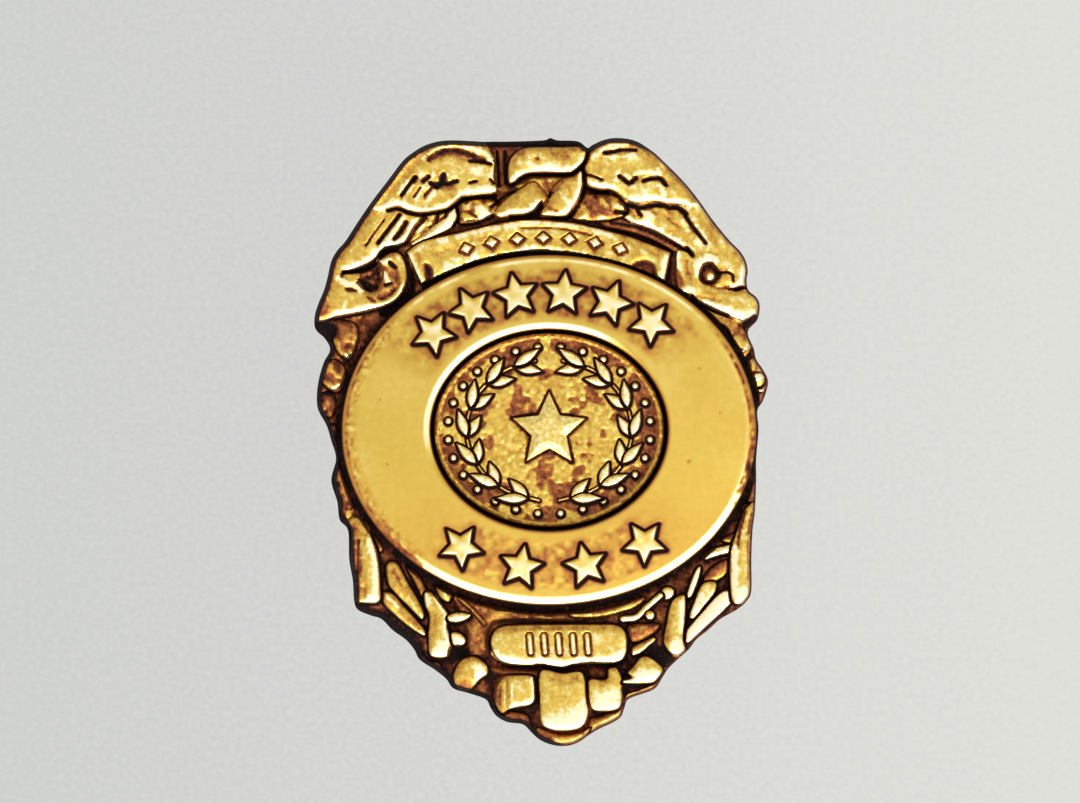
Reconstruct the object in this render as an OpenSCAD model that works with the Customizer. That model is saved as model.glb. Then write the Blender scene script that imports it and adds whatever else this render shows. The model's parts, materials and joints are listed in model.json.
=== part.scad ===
// Lapel pin: a small cast badge with an eagle, an oval band and an inset seal,
// worn on a post that a clutch cap holds from behind the cloth.
// Millimetres, +Z up. The pin stands on its clutch with its face up and its eagle towards +Y.
// The origin is the middle of the clutch's flat end, on the post's axis.

/* [Badge] */
// Thickness of the plate that carries the relief
plate_t = 1.0; // [0.8:0.1:1.3]
// Lean of the casting's centre line to the left, in degrees
lean = 2.3; // [0:0.1:3]
// Height of the low relief, such as the side leaves, above the plate
low_h = 0.35; // [0.3:0.05:0.45]
// Height of the middle relief, such as the banner and struts
mid_h = 0.6; // [0.5:0.05:0.7]
// Height of the high relief, such as the wings and the lobes
high_h = 0.8; // [0.75:0.05:0.9]
// Height of the top relief: the head and the wings' leading edges
top_h = 1.0; // [0.95:0.05:1.1]

/* [Oval band] */
// Width of the oval
oval_w = 17.3; // [17:0.1:17.5]
// Height of the oval
oval_h = 14.6; // [14.2:0.1:14.8]
// Shift of the oval and the foot from the centre line
oval_shift = 0.15; // [0:0.05:0.2]
// Height of the band's dome over the plate, at the oval's middle
dome_h = 1.35; // [1.3:0.05:1.5]
// Radius of the dome
dome_r = 60; // [50:5:90]
// Width of the opening that holds the seal
opening_w = 9.9; // [9.6:0.1:10]
// Height of the opening that holds the seal
opening_h = 8.4; // [8.2:0.1:8.5]
// Depth of the seal's pocket below the plate's face
pocket_d = 0.2; // [0.1:0.05:0.3]
// Stars on the upper arc of the band
upper_stars = 6; // [4:1:6]
// Stars on the lower arc of the band
lower_stars = 4; // [3:1:5]
// Outer radius of a star on the band
band_star_r = 0.95; // [0.8:0.05:1]

/* [Seal] */
// Gap between the seal and the wall of its pocket
seal_gap = 0.15; // [0.1:0.05:0.2]
// Thickness of the seal's disc
seal_t = 0.6; // [0.5:0.05:0.7]
// Height of the relief on the seal
seal_relief = 0.3; // [0.2:0.05:0.4]
// Outer radius of the seal's star
seal_star_r = 1.55; // [1.2:0.05:1.7]
// Leaves on each branch of the wreath
wreath_leaves = 7; // [5:1:9]

/* [Fastening] */
// Diameter of the post
post_d = 1.1; // [0.9:0.1:1.3]
// Length of the post, from the badge's back to its tip
post_l = 6.0; // [5.5:0.1:6]
// Gap between the badge's back and the clutch, where the cloth goes
cloth_gap = 1.4; // [1:0.1:2]
// Diameter of the clutch's flange
flange_d = 10.8; // [9:0.2:12]
// Diameter of the clutch's drum
drum_d = 8.6; // [7:0.2:9]
// Height of the clutch
clutch_h = 5.4; // [5.4:0.1:6]
// Gap between the post and the clutch's bore
post_gap = 0.05; // [0.05:0.01:0.1]

/* [Hidden] */

$fn = 96;

back_z = clutch_h + cloth_gap;
face_z = back_z + plate_t;
pocket_z = face_z - pocket_d;
sunk = 0.3;                  // relief starts this far inside the plate
post_tip = 0.8;              // length of the post's tapered tip
bore_end = 0.2;              // bore past the post's tip
flange_t = 0.9;
drum_round = 0.8;            // rounding of the drum's foot
line_rise = 0.15;            // fine lines, such as the banner's border, stand this far above their ground

// Each raised form is two terraces: how far each one stays below the form's top, and how far in it is
TERRACES = [                 // drop, inset
    [0.15, 0.00],
    [0.00, 0.12]
];

// The badge's outline, mirrored about its centre line
OUTLINE = [                  // height over the oval's middle, half width
    [12.10, 3.90], [11.85, 4.70], [11.25, 5.45], [10.40, 6.15], [9.20, 7.10], [8.30, 7.75],
    [ 7.50, 8.40], [ 7.00, 8.70], [ 6.00, 8.80], [ 5.50, 9.05], [5.00, 9.30], [4.60, 9.30],
    [ 4.10, 8.95], [ 3.60, 8.85], [ 3.10, 8.95], [ 2.60, 9.25], [2.00, 9.45], [1.30, 9.35],
    [ 0.80, 9.10], [ 0.00, 8.95], [-0.80, 8.85], [-2.10, 8.90], [-3.00, 8.75], [-3.80, 8.65],
    [-4.40, 8.40], [-5.50, 8.40], [-6.80, 8.35], [-7.30, 8.15], [-7.90, 7.10], [-8.80, 6.05],
    [-9.30, 5.65], [-9.70, 5.20], [-10.20, 4.65], [-10.80, 4.30], [-11.05, 3.60], [-11.30, 2.95],
    [-11.80, 2.75], [-12.10, 2.30], [-12.40, 1.50], [-12.90, 0.90], [-13.20, 0.40]
];

// The right wing; the left one mirrors it
WING_COVERT = [              // x, y round the part of the wing above the long feathers
    [1.70, 11.35], [1.70, 9.85], [3.10, 9.75], [3.75, 9.25], [4.70, 9.05], [5.25, 9.10],
    [5.60, 9.35], [6.40, 9.25], [6.10, 10.10], [5.50, 10.90], [4.85, 11.50], [4.10, 11.85],
    [2.40, 11.90], [1.95, 11.70]
];
WING_EDGE = [                // x, y along the ridge of the leading edge
    [1.90, 11.30], [2.40, 11.70], [3.20, 11.82], [4.05, 11.72], [4.70, 11.38], [5.60, 10.45],
    [6.50, 9.35]
];
wing_edge_r = 0.2;
FEATHERS = [                 // root x, root y, tip x, tip y, half width
    [6.85, 9.05, 8.05, 7.10, 0.36],
    [6.15, 9.10, 7.35, 7.10, 0.24],
    [5.55, 9.05, 6.60, 7.40, 0.24],
    [4.95, 8.95, 5.85, 7.70, 0.24],
    [3.80, 9.10, 5.15, 8.00, 0.24]
];
LEG = [[1.95, 9.55], [3.30, 9.45], [3.40, 8.80], [2.40, 8.60], [2.00, 8.75]];

// The eagle's head, which looks to the left, and the two lobes of its chest
HEAD = [
    [-1.07, 10.33], [-1.10, 10.95], [-0.80, 11.45], [-0.40, 11.68], [2.10, 11.72],
    [1.98, 11.18], [1.58, 10.75], [1.25, 10.66], [-0.15, 10.66], [-0.70, 10.45]
];
CHEST_LEFT = [
    [-0.20, 10.35], [0.25, 9.65], [0.00, 9.33], [-0.40, 9.07], [-1.45, 8.95], [-1.72, 9.12],
    [-0.95, 9.80]
];
CHEST_RIGHT = [
    [1.90, 10.70], [1.92, 10.25], [1.78, 9.70], [1.53, 9.27], [1.20, 8.98], [0.15, 8.98],
    [0.40, 9.55], [0.55, 10.00], [1.10, 10.42]
];

// The banner under the eagle: two arcs, and the raised strips at its ends
banner_half_top = 5.5;
banner_half_foot = 5.1;
banner_top_y = 8.83;
banner_top_r = 12.5;
banner_foot_y = 7.5;
banner_foot_r = 9.7;
banner_shift = 0.1;
banner_strip = 0.35;
banner_lip = 0.05;           // the border stays this far inside the banner's edge
banner_lozenges = 7;
lozenge_step = 5.4;          // angle between lozenges, seen from the middle of the banner's arcs
lozenge_w = 0.55;
lozenge_h = 0.5;

// The scroll beside the banner: a curl with a hole, and its tail
scroll_at = [6.85, 6.25];
scroll_r = 1.15;
scroll_hole_r = 0.42;
SCROLL_TAIL = [
    [5.90, 5.90], [6.50, 5.20], [7.20, 4.85], [8.00, 4.50], [8.90, 4.50], [9.20, 4.90],
    [9.10, 5.40], [8.60, 6.70], [8.30, 7.00], [7.60, 5.60]
];

// Leaves down the side of the oval
SIDE_LEAVES = [              // root x, root y, tip x, tip y, half width
    [7.90, 4.60, 8.45, 3.30, 0.38],
    [8.55, 3.40, 8.95, 2.05, 0.38],
    [8.90, 2.25, 9.05, 0.90, 0.28],
    [8.80, 0.90, 8.75, -0.70, 0.20],
    [8.70, -0.70, 8.70, -2.30, 0.20],
    [8.65, -2.10, 8.50, -3.60, 0.25],
    [8.40, -3.30, 8.05, -4.70, 0.30]
];

// Struts and blades between the oval and the foot
BLADES = [                   // x, y of one end, x, y of the other end, radius of each end
    [8.05, -4.50, 7.85, -6.75, 0.30, 0.42],
    [5.95, -5.60, 5.25, -6.90, 0.14, 0.28],
    [5.20, -7.00, 4.88, -8.85, 0.34, 0.42],
    [7.05, -5.90, 5.75, -7.70, 0.22, 0.22],
    [7.15, -6.85, 5.50, -8.35, 0.24, 0.24],
    [4.30, -7.15, 1.00, -7.62, 0.16, 0.12]
];

// The foot: number plate, knobs and lobes
number_plate = [5.6, 1.7];
number_plate_y = -8.98;
number_plate_round = 0.5;
round_fn = 16;               // facets of small round shapes
tally_bars = 5;
tally_pitch = 0.75;
tally_bar = [0.28, 0.75];
knob_at = [3.5, -9.95];
knob_r = 0.62;
LOBES = [                    // x, y of the middle, width, height, rounding
    [-1.75, -10.85, 1.10, 1.50, 0.25],
    [ 1.75, -10.85, 1.10, 1.50, 0.25],
    [ 0.00, -11.30, 1.95, 2.45, 0.35]
];
tip_lobe = [0, -12.65];
tip_lobe_size = [1.20, 0.80];
tip_lobe_round = 0.25;

// The oval band and its stars
band_edge_w = 0.25;          // width of the step round the band's outer edge
star_inner = 0.48;           // inner radius of a star, as a part of its outer radius
star_rise = 0.22;            // height of a star above the band's dome
upper_mid = 93.3;            // angle of the middle of each arc of stars, and the step between stars
upper_step = 16.8;
lower_mid = 271.5;
lower_step = 22.8;

// The seal: a star in a laurel wreath, inside a ring of pellets and a rim
seal_w = opening_w - 2 * seal_gap;
seal_h = opening_h - 2 * seal_gap;
seal_rim = 0.28;
wreath_w = 6.9;              // size of the oval that the wreath's branches follow
wreath_h = 5.9;
wreath_from = 285;           // angles of the right branch's first and last leaf
wreath_to = 425;
wreath_leaf_half = 0.3;      // half width of a leaf
wreath_leaf_reach = 0.9;     // length of a leaf, as a part of the step from leaf to leaf
wreath_leaf_spread = 0.5;    // leaf tips lie this far outside or inside the oval, in turn
seal_pellets = 28;
pellet_inset = 2 * seal_rim; // from the seal's edge to the middle of a pellet
pellet_r = 0.14;

function at_oval(angle, w, h) = [w / 2 * cos(angle), h / 2 * sin(angle)];

function oval(w, h, n = 72) = [for (i = [0:n - 1]) at_oval(360 * i / n, w, h)];

function star(r) = [for (i = [0:9]) (i % 2 == 0 ? r : r * star_inner) * [cos(90 + 36 * i), sin(90 + 36 * i)]];

// A blade between two points, with round ends of two radii
function blade(a, b, ra, rb, n = 4) =
    let (turn = atan2(b[1] - a[1], b[0] - a[0]))
    concat(
        [for (i = [0:n]) a + ra * [cos(turn + 90 + 180 * i / n), sin(turn + 90 + 180 * i / n)]],
        [for (i = [0:n]) b + rb * [cos(turn - 90 + 180 * i / n), sin(turn - 90 + 180 * i / n)]]
    );

// A pointed leaf between two points
function leaf(a, b, half, n = 4) =
    let (along = b - a, across = [-along[1], along[0]] / norm(along))
    concat(
        [for (i = [0:n]) a + along * i / n + across * half * sin(180 * pow(i / n, 0.8))],
        [for (i = [n - 1:-1:1]) a + along * i / n - across * half * sin(180 * pow(i / n, 0.8))]
    );

// Points on a circle's upper arc, between two values of x
function arch(x0, x1, top_y, r, n = 14) =
    [for (i = [0:n]) let (x = x0 + (x1 - x0) * i / n) [x, top_y - r + sqrt(r * r - x * x)]];

// Shears a flat shape so that its centre line leans
module leaned() {
    multmatrix([[1, -tan(lean), 0, 0], [0, 1, 0, 0], [0, 0, 1, 0], [0, 0, 0, 1]]) children();
}

module both_sides() {
    children();
    mirror([1, 0]) children();
}

// Joins flat shapes into one outline
module merged() {
    offset(delta = 0) children();
}

// Raises a flat shape above the plate, in terraces that round its edge
module raised(top) {
    for (t = TERRACES)
        translate([0, 0, face_z - sunk])
            linear_extrude(sunk + top - t[0])
                offset(delta = -t[1])
                    leaned() children();
}

module rounded_plate(at, size, round) {
    translate(at)
        offset(r = round, $fn = round_fn)
            square([size[0] - 2 * round, size[1] - 2 * round], center = true);
}

module outline() {
    polygon(concat(
        [for (row = OUTLINE) [row[1], row[0]]],
        [for (i = [len(OUTLINE) - 1:-1:0]) [-OUTLINE[i][1], OUTLINE[i][0]]]
    ));
}

module plate() {
    translate([0, 0, back_z])
        linear_extrude(plate_t)
            merged() leaned() outline();
}

// The part below the band's dome, or below a dome raised by some height
module under_dome(rise = 0) {
    translate([oval_shift, 0, face_z + dome_h + rise - dome_r]) sphere(dome_r, $fn = 300);
}

module oval_prism(w, h, from, to) {
    translate([oval_shift, 0, from]) linear_extrude(to - from) polygon(oval(w, h));
}

module band() {
    intersection() {
        union() {
            oval_prism(oval_w, oval_h, face_z - sunk, face_z + mid_h);
            oval_prism(oval_w - 2 * band_edge_w, oval_h - 2 * band_edge_w, face_z - sunk, face_z + 2 * top_h);
        }
        under_dome();
    }
}

module band_stars() {
    mid_w = (oval_w + opening_w) / 2;
    mid_h_oval = (oval_h + opening_h) / 2;
    intersection() {
        translate([oval_shift, 0, face_z])
            linear_extrude(2 * top_h)
                merged() {
                    for (i = [0:upper_stars - 1])
                        star_at(upper_mid + (i - (upper_stars - 1) / 2) * upper_step, mid_w, mid_h_oval, 0);
                    for (i = [0:lower_stars - 1])
                        star_at(lower_mid + (i - (lower_stars - 1) / 2) * lower_step, mid_w, mid_h_oval, 180);
                }
        under_dome(star_rise);
    }
}

module star_at(angle, w, h, turn) {
    translate(at_oval(angle, w, h)) rotate(angle - 90 + turn) polygon(star(band_star_r));
}

module wing_feathers() {
    for (f = FEATHERS) polygon(blade([f[0], f[1]], [f[2], f[3]], f[4], f[4]));
}

module wing_edge() {
    for (i = [0:len(WING_EDGE) - 2])
        polygon(blade(WING_EDGE[i], WING_EDGE[i + 1], wing_edge_r, wing_edge_r));
}

module banner() {
    translate([banner_shift, 0])
        polygon(concat(
            arch(-banner_half_top, banner_half_top, banner_top_y, banner_top_r),
            arch(banner_half_foot, -banner_half_foot, banner_foot_y, banner_foot_r)
        ));
}

module banner_relief() {
    difference() {
        offset(delta = -banner_lip) banner();
        translate([banner_shift, -banner_strip])
            polygon(concat(
                arch(banner_strip - banner_half_top, banner_half_top - banner_strip,
                    banner_top_y, banner_top_r),
                arch(banner_half_foot - banner_strip, banner_strip - banner_half_foot,
                    banner_foot_y - banner_strip, banner_foot_r)
            ));
    }
    mid_r = banner_top_r - (banner_top_y - banner_foot_y + banner_strip / 2) / 2;
    for (i = [0:banner_lozenges - 1])
        let (angle = 90 + (i - (banner_lozenges - 1) / 2) * lozenge_step)
            translate([banner_shift, banner_top_y - banner_top_r] + mid_r * [cos(angle), sin(angle)])
                rotate(angle - 90)
                    polygon([[-lozenge_w, 0], [0, lozenge_h], [lozenge_w, 0], [0, -lozenge_h]] / 2);
}

module scroll() {
    difference() {
        union() {
            translate(scroll_at) circle(scroll_r, $fn = 1.5 * round_fn);
            polygon(SCROLL_TAIL);
        }
        translate(scroll_at) circle(scroll_hole_r, $fn = round_fn);
    }
}

module side_leaves() {
    for (s = SIDE_LEAVES) polygon(leaf([s[0], s[1]], [s[2], s[3]], s[4]));
}

module blades() {
    for (b = BLADES) polygon(blade([b[0], b[1]], [b[2], b[3]], b[4], b[5]));
}

module lobes() {
    for (l = LOBES) rounded_plate([l[0] + oval_shift, l[1]], [l[2], l[3]], l[4]);
}

module tally() {
    for (i = [0:tally_bars - 1])
        translate([oval_shift + (i - (tally_bars - 1) / 2) * tally_pitch, number_plate_y])
            square(tally_bar, center = true);
}

// The post is soldered to the back, so it is part of the badge
module post() {
    translate([0, 0, back_z - post_l + post_tip]) cylinder(post_l - post_tip + sunk, d = post_d);
    translate([0, 0, back_z - post_l]) cylinder(post_tip, d1 = post_d * 0.4, d2 = post_d);
}

module badge() {
    color("goldenrod") {
        difference() {
            union() {
                plate();
                raised(low_h) {
                    both_sides() side_leaves();
                    both_sides() polygon(LEG);
                    rounded_plate(tip_lobe, tip_lobe_size, tip_lobe_round);
                }
                raised(mid_h) {
                    banner();
                    both_sides() scroll();
                    both_sides() blades();
                    both_sides() wing_feathers();
                    rounded_plate([oval_shift, number_plate_y], number_plate, number_plate_round);
                }
                raised(mid_h + line_rise) {
                    banner_relief();
                    tally();
                }
                raised(high_h) {
                    both_sides() polygon(WING_COVERT);
                    polygon(CHEST_LEFT);
                    polygon(CHEST_RIGHT);
                    both_sides() translate(knob_at) circle(knob_r, $fn = round_fn);
                    lobes();
                }
                raised(top_h) {
                    polygon(HEAD);
                    both_sides() wing_edge();
                }
                band();
                band_stars();
            }
            oval_prism(opening_w, opening_h, pocket_z, face_z + 3 * top_h);
        }
        post();
    }
}

module wreath_branch() {
    for (i = [0:wreath_leaves - 1])
        let (
            step = (wreath_to - wreath_from) / (wreath_leaves - 1),
            a = wreath_from + i * step,
            b = a + wreath_leaf_reach * step,
            w = wreath_w + (i % 2 == 0 ? wreath_leaf_spread : -wreath_leaf_spread),
            tip = at_oval(b, w, w * wreath_h / wreath_w)
        )
            polygon(leaf(at_oval(a, wreath_w, wreath_h), tip, wreath_leaf_half));
}

module seal_relief_shapes() {
    polygon(star(seal_star_r));
    both_sides() wreath_branch();
    pellets_w = seal_w - 2 * pellet_inset;
    pellets_h = seal_h - 2 * pellet_inset;
    for (i = [0:seal_pellets - 1])
        translate(at_oval(360 * (i + 0.5) / seal_pellets, pellets_w, pellets_h))
            circle(pellet_r, $fn = round_fn / 2);
}

module seal() {
    color("darkgoldenrod") {
        oval_prism(seal_w, seal_h, pocket_z, pocket_z + seal_t);
        difference() {
            oval_prism(seal_w, seal_h, pocket_z, pocket_z + seal_t + seal_relief / 2);
            oval_prism(seal_w - 2 * seal_rim, seal_h - 2 * seal_rim, pocket_z, pocket_z + 2 * seal_t);
        }
        translate([oval_shift, 0, pocket_z])
            linear_extrude(seal_t + seal_relief)
                merged() seal_relief_shapes();
    }
}

module clutch() {
    flange_z = clutch_h - flange_t;
    color("gold")
        difference() {
            rotate_extrude()
                union() {
                    square([drum_d / 2 - drum_round, clutch_h - flange_t / 2]);
                    translate([0, drum_round]) square([drum_d / 2, clutch_h - flange_t / 2 - drum_round]);
                    translate([drum_d / 2 - drum_round, drum_round]) circle(drum_round);
                    translate([0, flange_z]) square([flange_d / 2, flange_t]);
                }
            translate([0, 0, back_z - post_l - bore_end])
                cylinder(clutch_h, d = post_d + 2 * post_gap);
        }
}

badge();
seal();
clutch();
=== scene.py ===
# Looks of the lapel pin: a cast badge in antique gold, an inset seal and a clutch cap.
# Reliefs are drawn in millimetres, X right and Y towards the eagle, as heights over the badge's face.
# Every mesh is made in metres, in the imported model's own frame.
import json
import math

import bpy
import numpy as np
from mathutils.geometry import delaunay_2d_cdt
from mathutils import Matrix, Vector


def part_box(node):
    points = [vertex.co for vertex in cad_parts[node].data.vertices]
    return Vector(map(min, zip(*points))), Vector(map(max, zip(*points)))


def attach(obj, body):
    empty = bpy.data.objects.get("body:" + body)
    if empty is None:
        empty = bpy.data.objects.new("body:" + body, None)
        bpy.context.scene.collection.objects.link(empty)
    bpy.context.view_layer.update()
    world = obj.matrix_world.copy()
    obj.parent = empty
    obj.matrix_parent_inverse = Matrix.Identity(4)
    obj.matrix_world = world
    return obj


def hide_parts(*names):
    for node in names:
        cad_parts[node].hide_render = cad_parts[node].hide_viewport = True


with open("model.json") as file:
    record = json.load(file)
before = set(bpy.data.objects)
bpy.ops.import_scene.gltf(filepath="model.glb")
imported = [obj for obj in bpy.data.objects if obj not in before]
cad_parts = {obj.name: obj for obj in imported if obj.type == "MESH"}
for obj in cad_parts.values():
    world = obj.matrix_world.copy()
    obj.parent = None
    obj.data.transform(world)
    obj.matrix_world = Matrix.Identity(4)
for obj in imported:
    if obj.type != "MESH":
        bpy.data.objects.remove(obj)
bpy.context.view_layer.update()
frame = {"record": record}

MM = 0.001


def node_box(node):
    """A node's lowest and highest corners, in millimetres."""
    low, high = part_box(node)
    return np.array(low) / MM, np.array(high) / MM


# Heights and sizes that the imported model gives
SEAL_LOW, SEAL_HIGH = node_box("seal")
CLUTCH_LOW, CLUTCH_HIGH = node_box("clutch")
BACK_Z = next(m["pos_m"][2] for m in frame["record"]["mounts"] if m["name"] == "lapel_grip") / MM
PLATE_T = 1.0                 # thickness of the casting under its relief
FACE_Z = BACK_Z + PLATE_T

# Heights of the relief over the face
LOW = 0.35
MID = 0.6
HIGH = 0.8
TOP = 1.0

# How dark each place is: the antique finish with painted highlights and shade in it, from rubbed-bright
# metal and painted highlights to black
BURNISHED_AND_HIGHLIGHT = 0.0
GOLD = 0.2
AMBER = 0.4
COPPER = 0.55
BROWN = 0.75
BLACK = 1.0

# The oval band and its opening
OVAL_AT = 0.15                # shift of the oval to the right
OVAL = np.array([17.3, 14.6])
OPENING = np.array([9.9, 8.4])
POCKET = 0.2                  # depth of the seal's pocket under the face
DOME_H = 1.35                 # height of the band's dome at its middle
DOME_R = 60.0


# Drawing tools: curves and distances on a raster

def smooth(points, closed=True, steps=5):
    """A rounded path through a few points."""
    p = np.array(points, float)
    if closed:
        before, after, beyond = np.roll(p, 1, 0), np.roll(p, -1, 0), np.roll(p, -2, 0)
        start = p
    else:
        ends = np.vstack([2 * p[0] - p[1], p, 2 * p[-1] - p[-2]])
        before, start, after, beyond = ends[:-3], ends[1:-2], ends[2:-1], ends[3:]
    t = (np.arange(steps) / steps)[:, None, None]
    curve = start + 0.5 * (
        (after - before) * t
        + (2 * before - 5 * start + 4 * after - beyond) * t ** 2
        + (3 * start - before - 3 * after + beyond) * t ** 3
    )
    path = curve.transpose(1, 0, 2).reshape(-1, 2)
    return path if closed else np.vstack([path, p[-1]])


def open_path(points):
    """A rounded path from end to end, or the straight line of two points."""
    return smooth(points, False) if len(points) > 2 else np.array(points, float)


def evenly(path, step):
    """The same closed path, with its points about one step apart."""
    ring = np.vstack([path, path[0]])
    along = np.concatenate([[0], np.cumsum(np.linalg.norm(np.diff(ring, axis=0), axis=1))])
    count = int(round(along[-1] / step))
    at = np.arange(count) * along[-1] / count
    return np.column_stack([np.interp(at, along, ring[:, 0]), np.interp(at, along, ring[:, 1])])


def all_round(count):
    """Evenly spaced angles, once round."""
    return 2 * math.pi * np.arange(count) / count


def round_shape(at, radius, count=12):
    """Points round a circle."""
    turn = all_round(count)
    return np.column_stack([at[0] + radius * np.cos(turn), at[1] + radius * np.sin(turn)])


def oval_path(half, turn):
    """Points of an oval about the band's centre, at given angles."""
    return np.column_stack([OVAL_AT + half[0] * np.cos(turn), half[1] * np.sin(turn)])


def oval_point(half, angle):
    """One point of such an oval."""
    return OVAL_AT + half[0] * math.cos(angle), half[1] * math.sin(angle)


def oval_turn(x, y):
    """Angle of each place round the band."""
    return np.arctan2(y / OVAL[1], (x - OVAL_AT) / OVAL[0])


def oval_distance(x, y, size):
    """Distance to an oval about the band's centre: above 0 inside it."""
    a, b = size[0] / 2, size[1] / 2
    u, v = x - OVAL_AT, y
    f = np.sqrt((u / a) ** 2 + (v / b) ** 2) + 1e-9
    slope = np.sqrt((u / a ** 2) ** 2 + (v / b ** 2) ** 2) / f + 1e-9
    return (1 - f) / slope


def eased(t):
    """A smooth step from 0 to 1."""
    t = np.clip(t, 0, 1)
    return t * t * (3 - 2 * t)


def rounded(t):
    """A quarter round from 0 to 1: steep at first, then level."""
    return np.sqrt(1 - (1 - np.clip(t, 0, 1)) ** 2)


def between(corners, right, up):
    """Values between the lower left, lower right, upper left and upper right corners of a cell."""
    lower = corners[0] * (1 - right) + corners[1] * right
    upper = corners[2] * (1 - right) + corners[3] * right
    return lower * (1 - up) + upper * up


WAVE_TABLE = 128              # random values along each side of the table that waves are read from


def waves(x, y, length, seed):
    """Smooth random waves between -1 and 1, about one to each length."""
    table = np.random.default_rng(seed).uniform(-1, 1, (WAVE_TABLE, WAVE_TABLE))
    u, v = x / length + WAVE_TABLE / 2, y / length + WAVE_TABLE / 2
    i, j = np.floor(u).astype(int), np.floor(v).astype(int)
    corners = [table[(j + up) % WAVE_TABLE, (i + right) % WAVE_TABLE] for up in (0, 1) for right in (0, 1)]
    return between(corners, eased(u - i), eased(v - j))


def turned(points, at, angle):
    """A shape turned about the origin and set down at a point."""
    c, s = math.cos(angle), math.sin(angle)
    return np.array(points) @ np.array([[c, s], [-s, c]]) + np.array(at)


def star(radius, inner):
    """A five-pointed star about the origin, one point up."""
    turn = math.pi / 2 + math.pi / 5 * np.arange(10)
    reach = np.where(np.arange(10) % 2 == 0, radius, radius * inner)
    return np.column_stack([reach * np.cos(turn), reach * np.sin(turn)])


def leaf(root, tip, half):
    """A pointed leaf from its root to its tip."""
    root, tip = np.array(root, float), np.array(tip, float)
    along = tip - root
    across = np.array([-along[1], along[0]]) / np.linalg.norm(along)
    t = np.linspace(0, 1, 9)[:, None]
    width = half * np.sin(math.pi * t ** 0.8)
    spine = root + along * t
    return np.vstack([spine + across * width, (spine - across * width)[-2:0:-1]])


SHOULDER_SLOPE = 0.5          # slope of the shoulders of raised shapes: about 27 degrees
CROWN = 0.04                  # how much higher a shape's middle is than its shoulders
STEEP_EDGE = 0.06             # width of the steep fall at a raised shape's edge
LIT_SIDE = (0.26, -0.97)     # the shoulders that face this way, towards the lamps, get a painted highlight; the far ones painted shade
# tone of the painted highlight on shoulders that face the lamps, and of the rubbed wreath leaves
HIGHLIGHT_AND_WEAR_TONE = 0.02
FAR_SIDE_SHADE = 0.16          # how much painted shade darkens the far sides
GROOVE_DARK = 2.2             # a groove is fully dark from 1 / 2.2 of its depth downwards
HEIGHT_BEND = 0.008           # bends in height and in patina that the mesh may leave out at first
TONE_BEND = 0.10
LOOSER = 1.15                 # factor on both while the mesh has too many points


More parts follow.
